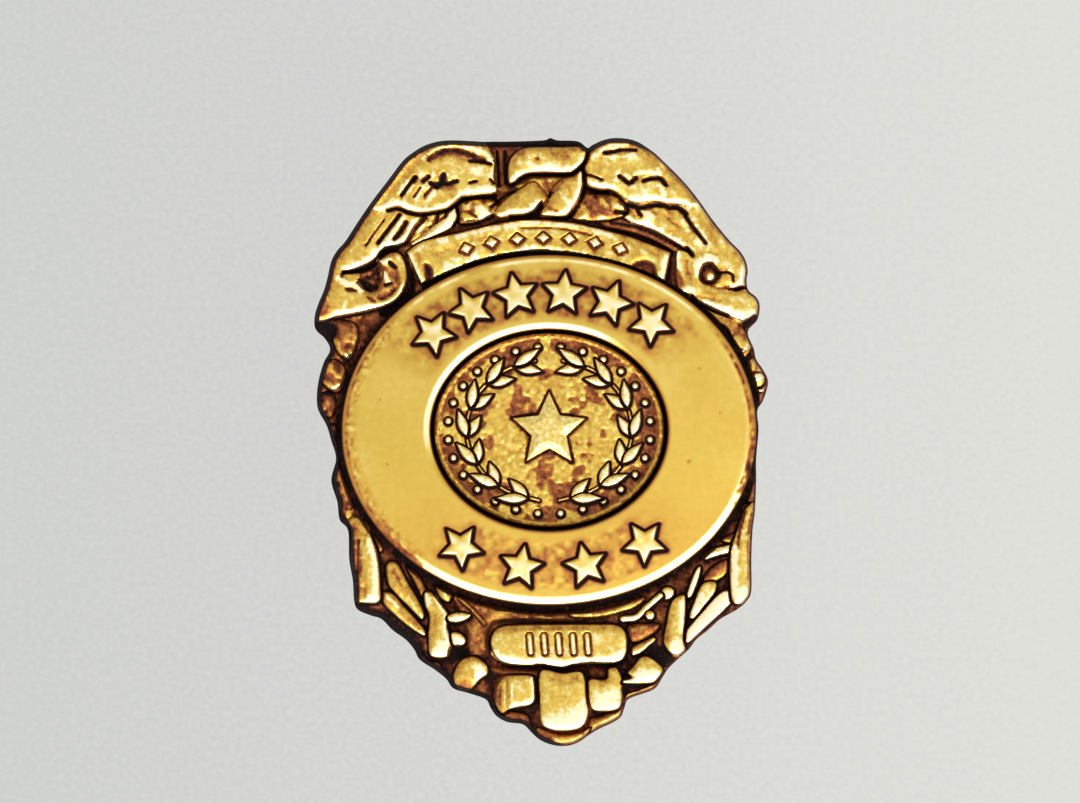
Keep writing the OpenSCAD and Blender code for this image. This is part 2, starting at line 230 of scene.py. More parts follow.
class Sheet:
    """A relief on a raster: its height over the face and its tone at each place, the antique finish with
    painted highlights and shade in it.
    """

    BLOCK = 8

    def __init__(self, low, high, step):
        self.low = np.array(low, float)
        self.step = step
        blocks = np.ceil((np.array(high) - self.low) / (step * self.BLOCK)).astype(int)
        across = self.low[0] + step * np.arange(blocks[0] * self.BLOCK + 1)
        up = self.low[1] + step * np.arange(blocks[1] * self.BLOCK + 1)
        self.x, self.y = np.meshgrid(across, up)
        self.z = np.zeros(self.x.shape)
        self.tone = np.full(self.x.shape, GOLD)

    def window(self, path, margin):
        """The part of the raster round a path."""
        low = np.floor((path.min(axis=0) - margin - self.low) / self.step).astype(int)
        high = np.ceil((path.max(axis=0) + margin - self.low) / self.step).astype(int) + 1
        low = np.clip(low, 0, None)
        high = np.maximum(high, low)
        return slice(low[1], high[1]), slice(low[0], high[0])

    def whole(self):
        """The window that holds the whole raster."""
        return slice(0, self.z.shape[0]), slice(0, self.z.shape[1])

    def distance(self, view, path, reach, closed=False):
        """Distance from each place in a window to a path, up to a reach."""
        x, y = self.x[view], self.y[view]
        best = np.full(x.shape, reach * reach)
        ends = np.roll(path, -1, 0) if closed else path[1:]
        for a, b in zip(path, ends):
            part = self.window(np.array([a, b]), reach)
            rows, columns = (slice(max(own.start - all_of.start, 0), max(own.stop - all_of.start, 0))
                             for own, all_of in zip(part, view))
            u, v = x[rows, columns] - a[0], y[rows, columns] - a[1]
            along = b - a
            t = np.clip((u * along[0] + v * along[1]) / max(along @ along, 1e-12), 0, 1)
            away = (u - t * along[0]) ** 2 + (v - t * along[1]) ** 2
            best[rows, columns] = np.minimum(best[rows, columns], away)
        return np.sqrt(best)

    def inside(self, view, path):
        """Which places in a window lie inside a closed path."""
        x, y = self.x[view], self.y[view]
        found = np.zeros(x.shape, bool)
        up = y[:, 0]
        for a, b in zip(path, np.roll(path, -1, 0)):
            rows = (a[1] > up) != (b[1] > up)
            if rows.any():
                crossing = a[0] + (up[rows] - a[1]) * (b[0] - a[0]) / (b[1] - a[1])
                found[rows] ^= x[rows] < crossing[:, None]
        return found

    def depth_inside(self, view, path, reach):
        """Distance to a closed path: above 0 inside it, below 0 outside."""
        away = self.distance(view, path, reach, closed=True)
        return np.where(self.inside(view, path), away, -away)

    def facing(self, away):
        """How far the nearest edge faces the lamps' side, where highlights are painted, from -1 to 1."""
        up, across = np.gradient(away, self.step)
        return np.clip(-(across * LIT_SIDE[0] + up * LIT_SIDE[1]), -1, 1)

    def stain(self, tone, weight, view=...):
        """Brings the patina towards a tone."""
        self.tone[view] += (tone - self.tone[view]) * weight

    def raise_form(self, view, away, top, foot, bevel, line, tone, line_tone, crown):
        """Raises what lies inside a shape and cuts a dark groove round it; paints a highlight on the
        shoulders that face the lamps and shade on the far ones.
        """
        z, old = self.z[view], self.tone[view]
        facing = self.facing(away)
        shoulder = top - SHOULDER_SLOPE * np.maximum(bevel - away, 0) + crown * eased(away / (3 * bevel))
        height = foot + (shoulder - foot) * rounded(away / STEEP_EDGE)
        groove = 1 - eased(-away / (line * (0.9 + 0.5 * facing))) if line > 0 else np.zeros(away.shape)
        lowered = np.where(groove > 0, z + (np.minimum(z, foot) - z) * groove, z)
        self.z[view] = np.where(away > 0, height, lowered)
        risen = eased(away / STEEP_EDGE)
        edge = risen * (1 - eased((away - 0.8 * bevel) / (0.5 * bevel)))
        # Painted highlight on shoulders that face the lamps, painted shade on the far ones
        painted_highlight = edge * np.maximum(facing, 0) * (1 - eased((tone - 0.35) / 0.25))
        body = tone + min(HIGHLIGHT_AND_WEAR_TONE - tone, 0) * painted_highlight + FAR_SIDE_SHADE * edge * np.maximum(-facing, 0)
        if line > 0:
            body += (line_tone - body) * (1 - risen)
        edged = old + (line_tone - old) * np.minimum(GROOVE_DARK * groove, 1)
        self.tone[view] = np.where(away > 0, body, edged)

    def form(self, points, top, foot=0.1, bevel=0.2, line=0.1, tone=GOLD, line_tone=BLACK, curved=True):
        """A raised shape with a rounded edge."""
        path = smooth(points) if curved else np.array(points, float)
        reach = max(3 * bevel, line) + self.step
        view = self.window(path, reach)
        away = self.depth_inside(view, path, reach)
        self.raise_form(view, away, top, foot, bevel, line, tone, line_tone, CROWN)

    def strand(self, points, half, top, foot=0.1, line=0.09, tone=GOLD, line_tone=BLACK):
        """A raised round bar along a path."""
        path = open_path(points)
        reach = half + line + self.step
        view = self.window(path, reach)
        away = half - self.distance(view, path, reach)
        self.raise_form(view, away, top, foot, half, line, tone, line_tone, 0.0)

    def stroke(self, points, half, tone, lift=0.0):
        """A soft groove or ridge along a path, over what is there."""
        path = open_path(points)
        view = self.window(path, half + self.step)
        weight = 1 - eased(self.distance(view, path, half + self.step) / half)
        self.stain(tone, np.minimum(GROOVE_DARK * weight, 1), view)
        self.z[view] += lift * weight

    def slit(self, points, half, depth=0.15):
        """A black cut along a path."""
        self.stroke(points, half, BLACK, -depth)

    def glint(self, points, half, rise=0.03):
        """A ridge along a path, rubbed bright and given a painted highlight."""
        self.stroke(points, half, BURNISHED_AND_HIGHLIGHT, rise)

    def cover(self, points, blend):
        """The window round a shape, and weights that fade from 1 to 0 across its edge."""
        path = smooth(points)
        view = self.window(path, blend)
        return view, eased(0.5 + self.depth_inside(view, path, blend) / (2 * blend))

    def patch(self, points, tone, blend=0.1, lift=0.0):
        """A soft-edged spot of another tone, over what is there; used for stains and also for painted
        highlights and shade.
        """
        view, weight = self.cover(points, blend)
        self.stain(tone, weight, view)
        self.z[view] += lift * weight

    def roughen(self, points, amount, seed, blend=0.15):
        """Uneven finish and surface inside a shape."""
        view, weight = self.cover(points, blend)
        x, y = self.x[view], self.y[view]
        broken = np.tanh(2 * waves(x, y, 0.32, seed) + 1.6 * waves(x, y, 0.16, seed + 1))
        self.tone[view] += amount * weight * broken
        self.z[view] -= 0.2 * (amount * weight) * broken

    def ground(self, points, level, tone, blend=0.08):
        """A lower ground inside a shape, with no line round it."""
        view, weight = self.cover(points, blend)
        self.z[view] += (level - self.z[view]) * weight
        self.stain(tone, weight, view)

    def sample(self, points):
        """Height and patina at any points."""
        u = (points - self.low) / self.step
        i = np.clip(np.floor(u).astype(int), 0, np.array(self.z.T.shape) - 2)
        right, up = (u - i).T
        return [between([values[i[:, 1] + b, i[:, 0] + a] for b in (0, 1) for a in (0, 1)], right, up)
                for values in (self.z, self.tone)]

    def bend(self, values, size):
        """How far the values in each block of the raster are from a plain slope."""
        rows, columns = (np.array(values.shape) - 1) // size
        blocks = values[:-1, :-1].reshape(rows, size, columns, size)
        part = np.arange(size) / size
        near, far = slice(None, -1, size), slice(size, None, size)
        corners = [values[b, a][:, None, :, None] for b in (near, far) for a in (near, far)]
        plain = between(corners, part[None, None, None, :], part[None, :, None, None])
        return np.abs(blocks - plain).max(axis=(1, 3))

    def nodes(self, allowed, most):
        """The raster's own nodes that the mesh uses: few where it is plain, many where it bends."""
        height_bend, tone_bend = HEIGHT_BEND, TONE_BEND
        while True:
            kept = np.zeros(self.z.shape, bool)
            size = self.BLOCK
            open_blocks = np.ones((np.array(self.z.shape) - 1) // size, bool)
            while True:
                near, far = slice(None, -1, size), slice(size, None, size)
                for rows, columns in ((near, near), (near, far), (far, near), (far, far)):
                    kept[rows, columns] |= open_blocks
                if size == 1:
                    break
                bent = self.bend(self.z, size) > height_bend
                bent |= self.bend(self.tone, size) > tone_bend
                open_blocks = np.repeat(np.repeat(open_blocks & bent, 2, 0), 2, 1)
                size //= 2
            kept &= allowed
            if kept.sum() <= most:
                return kept
            height_bend *= LOOSER
            tone_bend *= LOOSER


# Mesh tools

def within(places, path):
    """Which of many places lie inside a closed path."""
    order = np.argsort(places[:, 1])
    x, y = places[order, 0], places[order, 1]
    found = np.zeros(len(places), bool)
    for a, b in zip(path, np.roll(path, -1, 0)):
        low, high = np.searchsorted(y, sorted((a[1], b[1])))
        if high > low:
            rows = slice(low, high)
            found[rows] ^= x[rows] < a[0] + (y[rows] - a[1]) * (b[0] - a[0]) / (b[1] - a[1])
    result = np.zeros(len(places), bool)
    result[order] = found
    return result


def triangles_of(points, loops):
    """Triangles over a flat field of points, held to its loops. The outer loop comes first."""
    edges = [(loop[k - 1], loop[k]) for loop in loops for k in range(len(loop))]
    found = delaunay_2d_cdt([p.tolist() for p in points], edges, [], 0, 1e-7)
    source = np.array([origins[0] for origins in found[3]])
    faces = source[np.array(found[2])]
    corners = points[faces]
    u, v = corners[:, 1] - corners[:, 0], corners[:, 2] - corners[:, 0]
    area = u[:, 0] * v[:, 1] - u[:, 1] * v[:, 0]
    faces[area < 0] = faces[area < 0][:, ::-1]
    centre = corners.mean(axis=1)
    keep = np.abs(area) > 1e-12
    for number, loop in enumerate(loops):
        held = within(centre, points[np.array(loop)])
        keep &= held if number == 0 else ~held
    return faces[keep]


def inset(path, by):
    """A closed path moved inwards; the path runs anticlockwise."""
    along = np.roll(path, -1, 0) - np.roll(path, 1, 0)
    along /= np.linalg.norm(along, axis=1)[:, None]
    return path + by * np.column_stack([-along[:, 1], along[:, 0]])


def put(name, data):
    """A new object in the scene."""
    thing = bpy.data.objects.new(name, data)
    bpy.context.collection.objects.link(thing)
    return thing


class Shell:
    """Vertices, tones (antique finish with painted highlights and shade) and faces of a closed mesh, put
    together part by part.
    """

    def __init__(self):
        self.points, self.tones, self.faces = [], [], []
        self.count = 0

    def add(self, xy, z, tone):
        """Adds points and returns their numbers."""
        xy = np.asarray(xy, float)
        self.points.append(np.column_stack([xy, np.broadcast_to(z, len(xy))]))
        self.tones.append(np.broadcast_to(tone, len(xy)))
        first = self.count
        self.count += len(xy)
        return np.arange(first, self.count)

    def plan(self, numbers):
        """X and Y of some of the points."""
        return np.vstack(self.points)[numbers][:, :2]

    def strip(self, upper, lower):
        """Joins two closed rings of points; seen from outside, upper runs anticlockwise over lower."""
        self.faces.extend(np.column_stack([upper, lower, np.roll(lower, -1), np.roll(upper, -1)]).tolist())

    def wall(self, rim, rings):
        """Carries a ring of points down through paths, heights and tones, and returns the last ring."""
        for path, z, tone in rings:
            lower = self.add(path, z, tone)
            self.strip(rim, lower)
            rim = lower
        return rim

    def relief(self, s, loop, base_z, allowed, most):
        """Adds a sheet's relief inside a loop, and returns the ring of its edge."""
        kept = s.nodes(allowed, most)
        edge_z, edge_tone = s.sample(loop)
        field = np.vstack([loop, np.column_stack([s.x[kept], s.y[kept]])])
        z = np.concatenate([edge_z, s.z[kept]])
        top = self.add(field, base_z + z, np.concatenate([edge_tone, s.tone[kept]]))
        self.faces.extend(triangles_of(field, [list(range(len(loop)))]).tolist())
        return top[:len(loop)]

    def make(self, name, material, flat=()):
        """The finished object, smooth but for the faces whose numbers are given."""
        mesh = bpy.data.meshes.new(name)
        points = np.vstack(self.points) * MM
        mesh.from_pydata(points.tolist(), [], self.faces)
        # The tone goes on as an attribute: the antique finish with painted highlights and shade in it
        patina_and_painted_light = mesh.attributes.new("patina_and_painted_light", "FLOAT", "POINT")
        patina_and_painted_light.data.foreach_set("value", np.concatenate(self.tones))
        mesh.polygons.foreach_set("use_smooth", np.ones(len(mesh.polygons), bool))
        for number in flat:
            mesh.polygons[number].use_smooth = False
        mesh.materials.append(material)
        return put(name, mesh)


# Materials

def linear(code):
    """A linear colour from an sRGB hex value."""
    values = [int(code[i:i + 2], 16) / 255 for i in (1, 3, 5)]
    return [v / 12.92 if v <= 0.04045 else ((v + 0.055) / 1.055) ** 2.4 for v in values] + [1.0]


def add(tree, kind, settings=None, links=None):
    """Adds a node, with its settings and what feeds its inputs."""
    node = tree.nodes.new(kind)
    for key, value in (settings or {}).items():
        if isinstance(key, int) or key in node.inputs.keys():
            node.inputs[key].default_value = value
        else:
            setattr(node, key, value)
    for key, socket in (links or {}).items():
        tree.links.new(socket, node.inputs[key])
    return node


def set_ramp(node, stops):
    """Gives a colour ramp its stops: place and sRGB colour."""
    ramp = node.color_ramp
    while len(ramp.elements) > 1:
        ramp.elements.remove(ramp.elements[-1])
    ramp.elements[0].position, ramp.elements[0].color = stops[0][0], linear(stops[0][1])
    for place, code in stops[1:]:
        ramp.elements.new(place).color = linear(code)


def new_material(name):
    """An empty material, its nodes, and the place on the piece that its patterns follow."""
    material = bpy.data.materials.new(name)
    material.use_nodes = True
    tree = material.node_tree
    tree.nodes.clear()
    return material, tree, add(tree, "ShaderNodeTexCoord").outputs["Object"]


# Colours of the plate, from rubbed-bare metal and painted highlights to what is fully oxidised
GOLD_STOPS = [
    (0.00, "#FFF4CE"), (0.06, "#F7E5A4"), (0.13, "#E6CB70"), (0.21, "#D8B856"), (0.38, "#C09443"),
    (0.55, "#9C5E38"), (0.75, "#64301E"), (0.90, "#260D08"), (1.00, "#080303")
]
PIT_DEPTH = 0.02 * MM         # depth of the finest pits


def patinated(name, mottle_mm, mottle, grain_mm, grain):
    """Gold plate over a casting, darkened in its hollows by an antique finish and rubbed back on top; the
    tone it reads also holds painted highlights and shade.
    """
    material, tree, place = new_material(name)
    patina_and_painted_light = add(tree, "ShaderNodeAttribute", {"attribute_name": "patina_and_painted_light"}).outputs["Fac"]
    cloud = add(tree, "ShaderNodeTexNoise",
                {"Scale": 1 / (mottle_mm * MM), "Detail": 3.0, "Roughness": 0.6},
                {"Vector": place}).outputs["Fac"]
    centred = add(tree, "ShaderNodeMath", {"operation": "SUBTRACT", 1: 0.5}, {0: cloud}).outputs[0]
    stained = add(tree, "ShaderNodeMath", {"operation": "MULTIPLY_ADD", 1: mottle, "use_clamp": True},
                  {0: centred, 2: patina_and_painted_light}).outputs[0]
    colour = add(tree, "ShaderNodeValToRGB", None, {"Fac": stained})
    set_ramp(colour, GOLD_STOPS)
    # Bare metal down to copper, then oxide, which is rougher and no metal
    metal, rough = (
        add(tree, "ShaderNodeMapRange", dict(zip(("From Min", "From Max", "To Min", "To Max"), values)),
            {"Value": stained}).outputs[0]
        for values in ((0.5, 1.0, 1.0, 0.0), (0.1, 0.9, 0.3, 0.8)))
    pits = add(tree, "ShaderNodeTexNoise", {"Scale": 1 / (grain_mm * MM), "Detail": 2.0},
               {"Vector": place}).outputs["Fac"]
    bump = add(tree, "ShaderNodeBump", {"Strength": grain, "Distance": PIT_DEPTH}, {"Height": pits})
    shader = add(tree, "ShaderNodeBsdfPrincipled", {"Specular IOR Level": 0.15},
                 {"Base Color": colour.outputs["Color"], "Metallic": metal, "Roughness": rough,
                  "Normal": bump.outputs[0]})
    add(tree, "ShaderNodeOutputMaterial", None, {"Surface": shader.outputs[0]})
    return material


# Antique gold plate, cast: warm gold on what is rubbed, copper and black in the hollows
ANTIQUE_GOLD = patinated("antique_gold_cast", 0.17, 0.6, 0.09, 0.3)
# The same plate on the struck band: nearly smooth, with faint clouds of tarnish
BAND_GOLD = patinated("antique_gold_struck", 0.3, 0.12, 0.12, 0.15)
# The seal's plate: coarser stains, because its ground was left rough
SEAL_GOLD = patinated("antique_gold_stippled", 0.16, 0.55, 0.08, 0.3)

CAP_STAIN = 1.8 * MM          # width of the cap's faint stains
CAP_MARKS = 0.12 * MM         # distance between its turning marks, coarser than real so that they show


def turned_brass():
    """Drawn brass cap, polished: clear gold with fine turning marks round its axis."""
    material, tree, place = new_material("brass_drawn_polished")
    stain = add(tree, "ShaderNodeTexNoise", {"Scale": 1 / CAP_STAIN, "Detail": 3.0}, {"Vector": place})
    colour = add(tree, "ShaderNodeValToRGB", None, {"Fac": stain.outputs["Fac"]})
    set_ramp(colour, [(0.3, "#D9A94E"), (0.7, "#EBC877")])
    marks = add(tree, "ShaderNodeTexWave", {
        "wave_type": "RINGS", "rings_direction": "Z", "Scale": 1 / (CAP_MARKS * 2 * math.pi) / 10,
        "Distortion": 0.4, "Detail": 1.0
    }, {"Vector": place})
    bump = add(tree, "ShaderNodeBump", {"Strength": 0.12, "Distance": 0.01 * MM},
               {"Height": marks.outputs["Fac"]}).outputs[0]
    rough = add(tree, "ShaderNodeMapRange", {"To Min": 0.2, "To Max": 0.34},
                {"Value": stain.outputs["Fac"]}).outputs[0]
    shader = add(tree, "ShaderNodeBsdfPrincipled", {"Metallic": 1.0},
                 {"Base Color": colour.outputs["Color"], "Roughness": rough, "Normal": bump})
    add(tree, "ShaderNodeOutputMaterial", None, {"Surface": shader.outputs[0]})
    return material


CAP_BRASS = turned_brass()


# The badge's outline, drawn anticlockwise from the middle of its top
OUTLINE = [
    (-2.55, 12.04), (-3.3, 12.08), (-4.0, 12.1), (-4.55, 12.04), (-5.05, 11.88), (-5.45, 11.65),
    (-5.95, 11.25), (-6.6, 10.4), (-7.25, 9.55), (-7.8, 8.75), (-8.35, 7.9), (-8.7, 7.5), (-8.95, 7.05),
    (-9.1, 6.4), (-9.25, 5.85), (-9.5, 5.25), (-9.65, 4.7), (-9.6, 4.2), (-9.2, 3.8), (-9.0, 3.35),
    (-9.25, 2.85), (-9.45, 2.2), (-9.55, 1.5), (-9.5, 0.85), (-9.15, 0.2), (-8.95, -0.45), (-8.75, -1.2),
    (-8.95, -2.1), (-8.7, -3.0), (-8.6, -3.75), (-8.25, -4.2), (-8.2, -5.4), (-8.05, -6.3), (-8.0, -7.1),
    (-7.85, -7.5), (-7.3, -7.75), (-6.85, -7.9), (-6.4, -8.35), (-5.85, -8.75), (-5.5, -9.15),
    (-5.25, -9.6), (-4.65, -10.0), (-4.15, -10.4), (-3.85, -10.8), (-3.2, -11.0), (-2.5, -11.25),
    (-2.3, -11.6), (-2.05, -11.95), (-1.6, -12.2), (-0.95, -12.3), (-0.6, -12.62), (-0.3, -12.9),
    (0.1, -13.1), (0.55, -13.2), (1.0, -13.18), (1.42, -13.02), (1.8, -12.75), (2.25, -12.48),
    (2.75, -12.25), (3.15, -11.98), (3.3, -11.6), (3.5, -11.22),
    (4.5, -10.85), (4.85, -10.4), (5.1, -10.0), (5.5, -9.6), (6.0, -9.15), (6.3, -8.75), (6.8, -8.35),
    (7.3, -7.9), (8.0, -7.5), (8.4, -7.15), (8.6, -6.7), (8.6, -5.4), (8.65, -4.2), (8.75, -3.4),
    (8.8, -2.1), (8.8, -1.2), (8.9, 0.0), (8.85, 0.8), (9.1, 1.25), (9.3, 2.0), (9.1, 2.5), (8.8, 2.95),
    (8.7, 3.4), (8.45, 4.1), (8.85, 4.6), (8.95, 5.2), (8.8, 5.55), (8.48, 5.83), (8.4, 6.25),
    (8.45, 6.65), (8.35, 7.1), (8.1, 7.5), (7.7, 7.9), (7.0, 8.75), (6.4, 9.6), (5.75, 10.4),
    (4.9, 11.25), (4.45, 11.65), (3.75, 12.08), (3.0, 12.2), (2.45, 12.12), (1.95, 11.9), (1.75, 11.78),
    (1.35, 12.06), (0.5, 12.1), (0.2, 12.2), (-0.1, 12.1), (-1.5, 12.05), (-2.2, 12.05)
]


def draw_grounds(s):
    """Hollows behind the eagle and beside the banner, which the forms are drawn over."""
    s.ground([(-2.15, 12.0), (-1.4, 12.05), (0.0, 12.0), (1.5, 12.0), (1.75, 11.2), (1.7, 10.2), (1.6, 9.2),
              (0.5, 8.85), (-0.8, 8.85), (-2.1, 8.8), (-2.15, 9.8), (-2.1, 11.0)], 0.1, 0.66, 0.1)
    left_side = [(-8.7, 4.9), (-7.6, 4.9), (-8.2, 3.6), (-8.6, 2.2), (-8.75, 0.6), (-8.5, -1.5),
                 (-8.0, -3.2), (-8.3, -3.9), (-8.9, -1.5), (-9.3, 0.8), (-9.6, 1.6), (-9.3, 2.8),
                 (-9.0, 4.0)]
    s.ground(left_side, 0.3, 0.5, 0.1)
    s.roughen(left_side, 0.24, 79)
    s.ground([(-8.6, 6.7), (-7.6, 6.9), (-6.9, 7.3), (-6.4, 7.0), (-6.2, 5.9), (-6.7, 5.4), (-7.6, 5.6),
              (-8.4, 6.1)], 0.1, 0.8, 0.1)
    s.ground([(5.3, 7.5), (5.9, 7.4), (6.1, 6.4), (6.0, 5.8), (5.4, 5.6), (5.2, 6.4)], 0.15, 0.72, 0.1)
    s.ground([(6.4, 5.15), (7.2, 4.8), (7.95, 4.55), (8.2, 4.3), (7.8, 4.0), (7.2, 4.4), (6.5, 4.85)], 0.25,
             0.54, 0.1)
    over_plate = [(-3.9, -6.75), (-3.0, -7.0), (-1.2, -7.4), (1.5, -7.4), (1.5, -7.95), (-1.8, -7.95),
                  (-2.4, -8.4), (-2.5, -9.3), (-3.2, -9.4), (-3.3, -8.3)]
    s.ground(over_plate, 0.32, 0.57, 0.12)
    s.roughen(over_plate, 0.13, 71)
    s.ground([(3.5, -7.95), (4.7, -7.95), (5.0, -8.6), (4.2, -9.2), (3.5, -9.2)], 0.15, 0.7, 0.1)
    s.ground([(2.4, 8.9), (3.6, 8.75), (4.3, 8.45), (5.0, 8.07), (5.6, 7.6), (5.3, 7.45), (4.4, 7.95),
              (3.5, 8.25), (2.4, 8.5)], 0.42, 0.58, 0.1)


def draw_left_wing(s):
    """The eagle's wing on the left: long feathers under a rounded covert."""
    s.form([(-4.3, 11.3), (-5.2, 11.9), (-5.85, 11.6), (-6.4, 10.9), (-6.95, 10.15), (-7.5, 9.4),
            (-8.1, 8.6), (-8.6, 7.95), (-9.0, 7.35), (-9.2, 6.7), (-8.9, 6.45), (-8.36, 6.58),
            (-7.85, 6.72), (-7.3, 6.98), (-6.95, 7.3), (-6.66, 7.6), (-6.1, 7.7), (-5.8, 7.85), (-5.6, 8.1),
            (-5.3, 8.6), (-5.0, 9.0)], MID, foot=0.15, bevel=0.22)
    s.ground([(-5.7, 7.8), (-5.45, 8.5), (-5.0, 9.0), (-4.2, 9.2), (-3.8, 9.3), (-3.8, 8.9), (-4.4, 8.45),
              (-5.0, 8.1)], 0.5, 0.36, 0.1)
    s.roughen([(-5.5, 8.0), (-5.2, 8.9), (-4.2, 9.1), (-4.2, 8.7), (-5.0, 8.2)], 0.2, 75)
    s.form([(-5.6, 7.78), (-5.2, 8.12), (-4.7, 8.5), (-4.3, 8.85), (-4.0, 9.2), (-3.78, 9.3), (-3.68, 9.0),
            (-3.75, 8.65), (-4.05, 8.35), (-4.75, 8.02), (-5.4, 7.68)], MID, foot=0.45, bevel=0.16,
           line=0.04, tone=BURNISHED_AND_HIGHLIGHT, line_tone=0.6)
    s.stroke([(-4.15, 8.95), (-4.5, 8.5), (-5.0, 8.15)], 0.1, GOLD, -0.03)
    s.stroke([(-4.1, 9.12), (-4.2, 8.88)], 0.09, 0.9, -0.08)
    s.glint([(-4.95, 8.85), (-5.3, 8.3)], 0.14, 0.05)
    s.stroke([(-4.7, 8.95), (-4.85, 8.6)], 0.1, 0.08, 0.05)
    s.slit([(-4.48, 9.02), (-4.55, 8.68)], 0.11, 0.12)
    s.stroke([(-5.08, 8.95), (-5.2, 8.7)], 0.1, 0.85, -0.1)
    s.stroke([(-4.3, 8.85), (-4.85, 8.45)], 0.08, BROWN, -0.05)
    s.slit([(-3.72, 9.25), (-3.66, 8.85), (-3.85, 8.5)], 0.07)
    # Amber strip inside the leading edge, then the slits between the long feathers
    s.patch([(-5.2, 11.7), (-6.2, 10.75), (-7.3, 9.3), (-8.3, 8.0), (-8.95, 6.9), (-8.6, 6.8), (-8.0, 7.8),
             (-7.0, 9.1), (-6.0, 10.4), (-5.0, 11.35)], AMBER, 0.1, -0.08)
    s.slit([(-6.7, 8.77), (-7.12, 8.22), (-7.46, 7.73)], 0.07, 0.1)
    s.slit([(-6.08, 8.98), (-6.5, 8.43), (-6.98, 7.8)], 0.12, 0.2)
    s.slit([(-5.81, 8.65), (-6.08, 8.22), (-6.29, 7.98)], 0.14, 0.2)
    s.stroke([(-4.98, 8.84), (-5.46, 8.36), (-5.74, 7.87)], 0.13, 0.85, -0.15)
    s.glint([(-5.94, 8.86), (-6.36, 8.22), (-6.72, 7.72)], 0.1)
    s.glint([(-5.5, 8.7), (-5.74, 8.15), (-6.08, 7.86), (-6.6, 7.66)], 0.15)
    s.stroke([(-6.5, 8.95), (-7.2, 7.95)], 0.08, 0.1, 0.02)
    s.stroke([(-7.0, 8.9), (-7.5, 8.2), (-7.95, 7.4)], 0.12, 0.28, -0.03)
    s.glint([(-8.25, 6.72), (-7.85, 6.88), (-7.33, 7.15), (-6.95, 7.5), (-6.75, 7.72)], 0.16, 0.02)
    # The covert, its scalloped foot with a painted highlight, and the black line under it
    s.form([(-3.3, 12.3), (-4.3, 12.3), (-5.1, 12.1), (-5.75, 11.75), (-6.3, 11.1), (-6.95, 10.2),
            (-7.4, 9.5), (-7.15, 9.12), (-6.6, 9.16), (-6.15, 9.24), (-5.8, 9.14), (-5.35, 9.02),
            (-4.98, 9.02), (-4.36, 9.12), (-3.8, 9.38), (-3.5, 9.66), (-2.9, 9.78), (-2.1, 9.86),
            (-2.0, 10.15), (-2.12, 10.4), (-2.08, 11.15), (-2.3, 11.6), (-2.6, 12.1)], HIGH, foot=0.55,
           line=0.0)
    s.patch([(-4.9, 11.75), (-5.6, 11.2), (-6.3, 10.3), (-6.95, 9.45), (-6.7, 9.4), (-6.1, 10.1),
             (-5.5, 10.8), (-4.9, 11.35)], AMBER, 0.12, -0.08)
    s.slit([(-6.57, 9.15), (-6.15, 9.22), (-5.74, 9.07), (-5.25, 8.98), (-4.7, 9.06), (-4.15, 9.15),
            (-3.8, 9.36), (-3.56, 9.63), (-2.97, 9.68), (-2.1, 9.78)], 0.12, 0.2)
    s.glint([(-6.64, 9.39), (-6.15, 9.5), (-5.81, 9.42), (-5.39, 9.22), (-4.98, 9.17), (-4.36, 9.3),
             (-3.8, 9.57), (-3.62, 9.72)], 0.12, 0.04)
    s.glint([(-3.5, 9.9), (-2.9, 9.99), (-2.12, 10.06)], 0.16, 0.05)
    s.glint([(-5.1, 11.3), (-4.77, 11.55), (-4.35, 11.76), (-3.9, 11.87), (-3.39, 11.86), (-2.9, 11.7),
             (-2.49, 11.53), (-2.25, 11.25)], 0.13, 0.06)
    s.stroke([(-4.85, 11.3), (-4.35, 11.58), (-3.66, 11.62), (-3.0, 11.4), (-2.6, 11.22)], 0.19, 0.86,
             -0.12)
    s.stroke([(-4.55, 11.32), (-3.9, 11.42), (-3.2, 11.25)], 0.1, 0.5, -0.04)
    s.slit([(-3.14, 11.2), (-2.7, 11.17), (-2.28, 11.08)], 0.11)
    s.patch([(-3.1, 10.95), (-2.4, 11.0), (-2.25, 10.5), (-2.6, 10.45), (-3.0, 10.6)], 0.08, 0.12)
    s.slit([(-3.15, 10.3), (-2.88, 10.37)], 0.1, 0.1)
    s.slit([(-2.3, 10.45), (-2.15, 10.28)], 0.09, 0.1)
    # Small feathers on the covert
    s.patch([(-4.3, 10.25), (-3.75, 10.2), (-3.85, 9.95), (-4.3, 9.95)], 0.52, 0.08, -0.05)
    for feather in ([(-5.15, 10.75), (-5.75, 9.95)], [(-4.6, 10.75), (-4.95, 10.3)],
                    [(-4.05, 10.7), (-4.4, 10.4)], [(-5.1, 10.15), (-5.4, 9.65)],
                    [(-4.6, 9.95), (-4.85, 9.6)], [(-5.75, 10.4), (-6.1, 9.85)]):
        s.glint(feather, 0.1)
    s.slit([(-5.44, 10.54), (-5.7, 10.19), (-6.0, 9.78)], 0.12, 0.18)
    s.slit([(-5.4, 10.5), (-5.5, 10.38)], 0.16, 0.05)
    s.slit([(-4.88, 10.55), (-5.1, 10.38)], 0.15, 0.14)
    s.slit([(-4.8, 10.3), (-4.49, 10.13), (-4.25, 10.66), (-4.15, 10.27), (-3.7, 10.37)], 0.14)
    s.slit([(-4.6, 10.24), (-4.3, 10.22)], 0.15, 0.05)
    s.stroke([(-5.22, 10.1), (-5.48, 9.72)], 0.08, 0.8, -0.1)
    s.stroke([(-4.75, 10.1), (-5.03, 9.75)], 0.09, 0.9, -0.1)
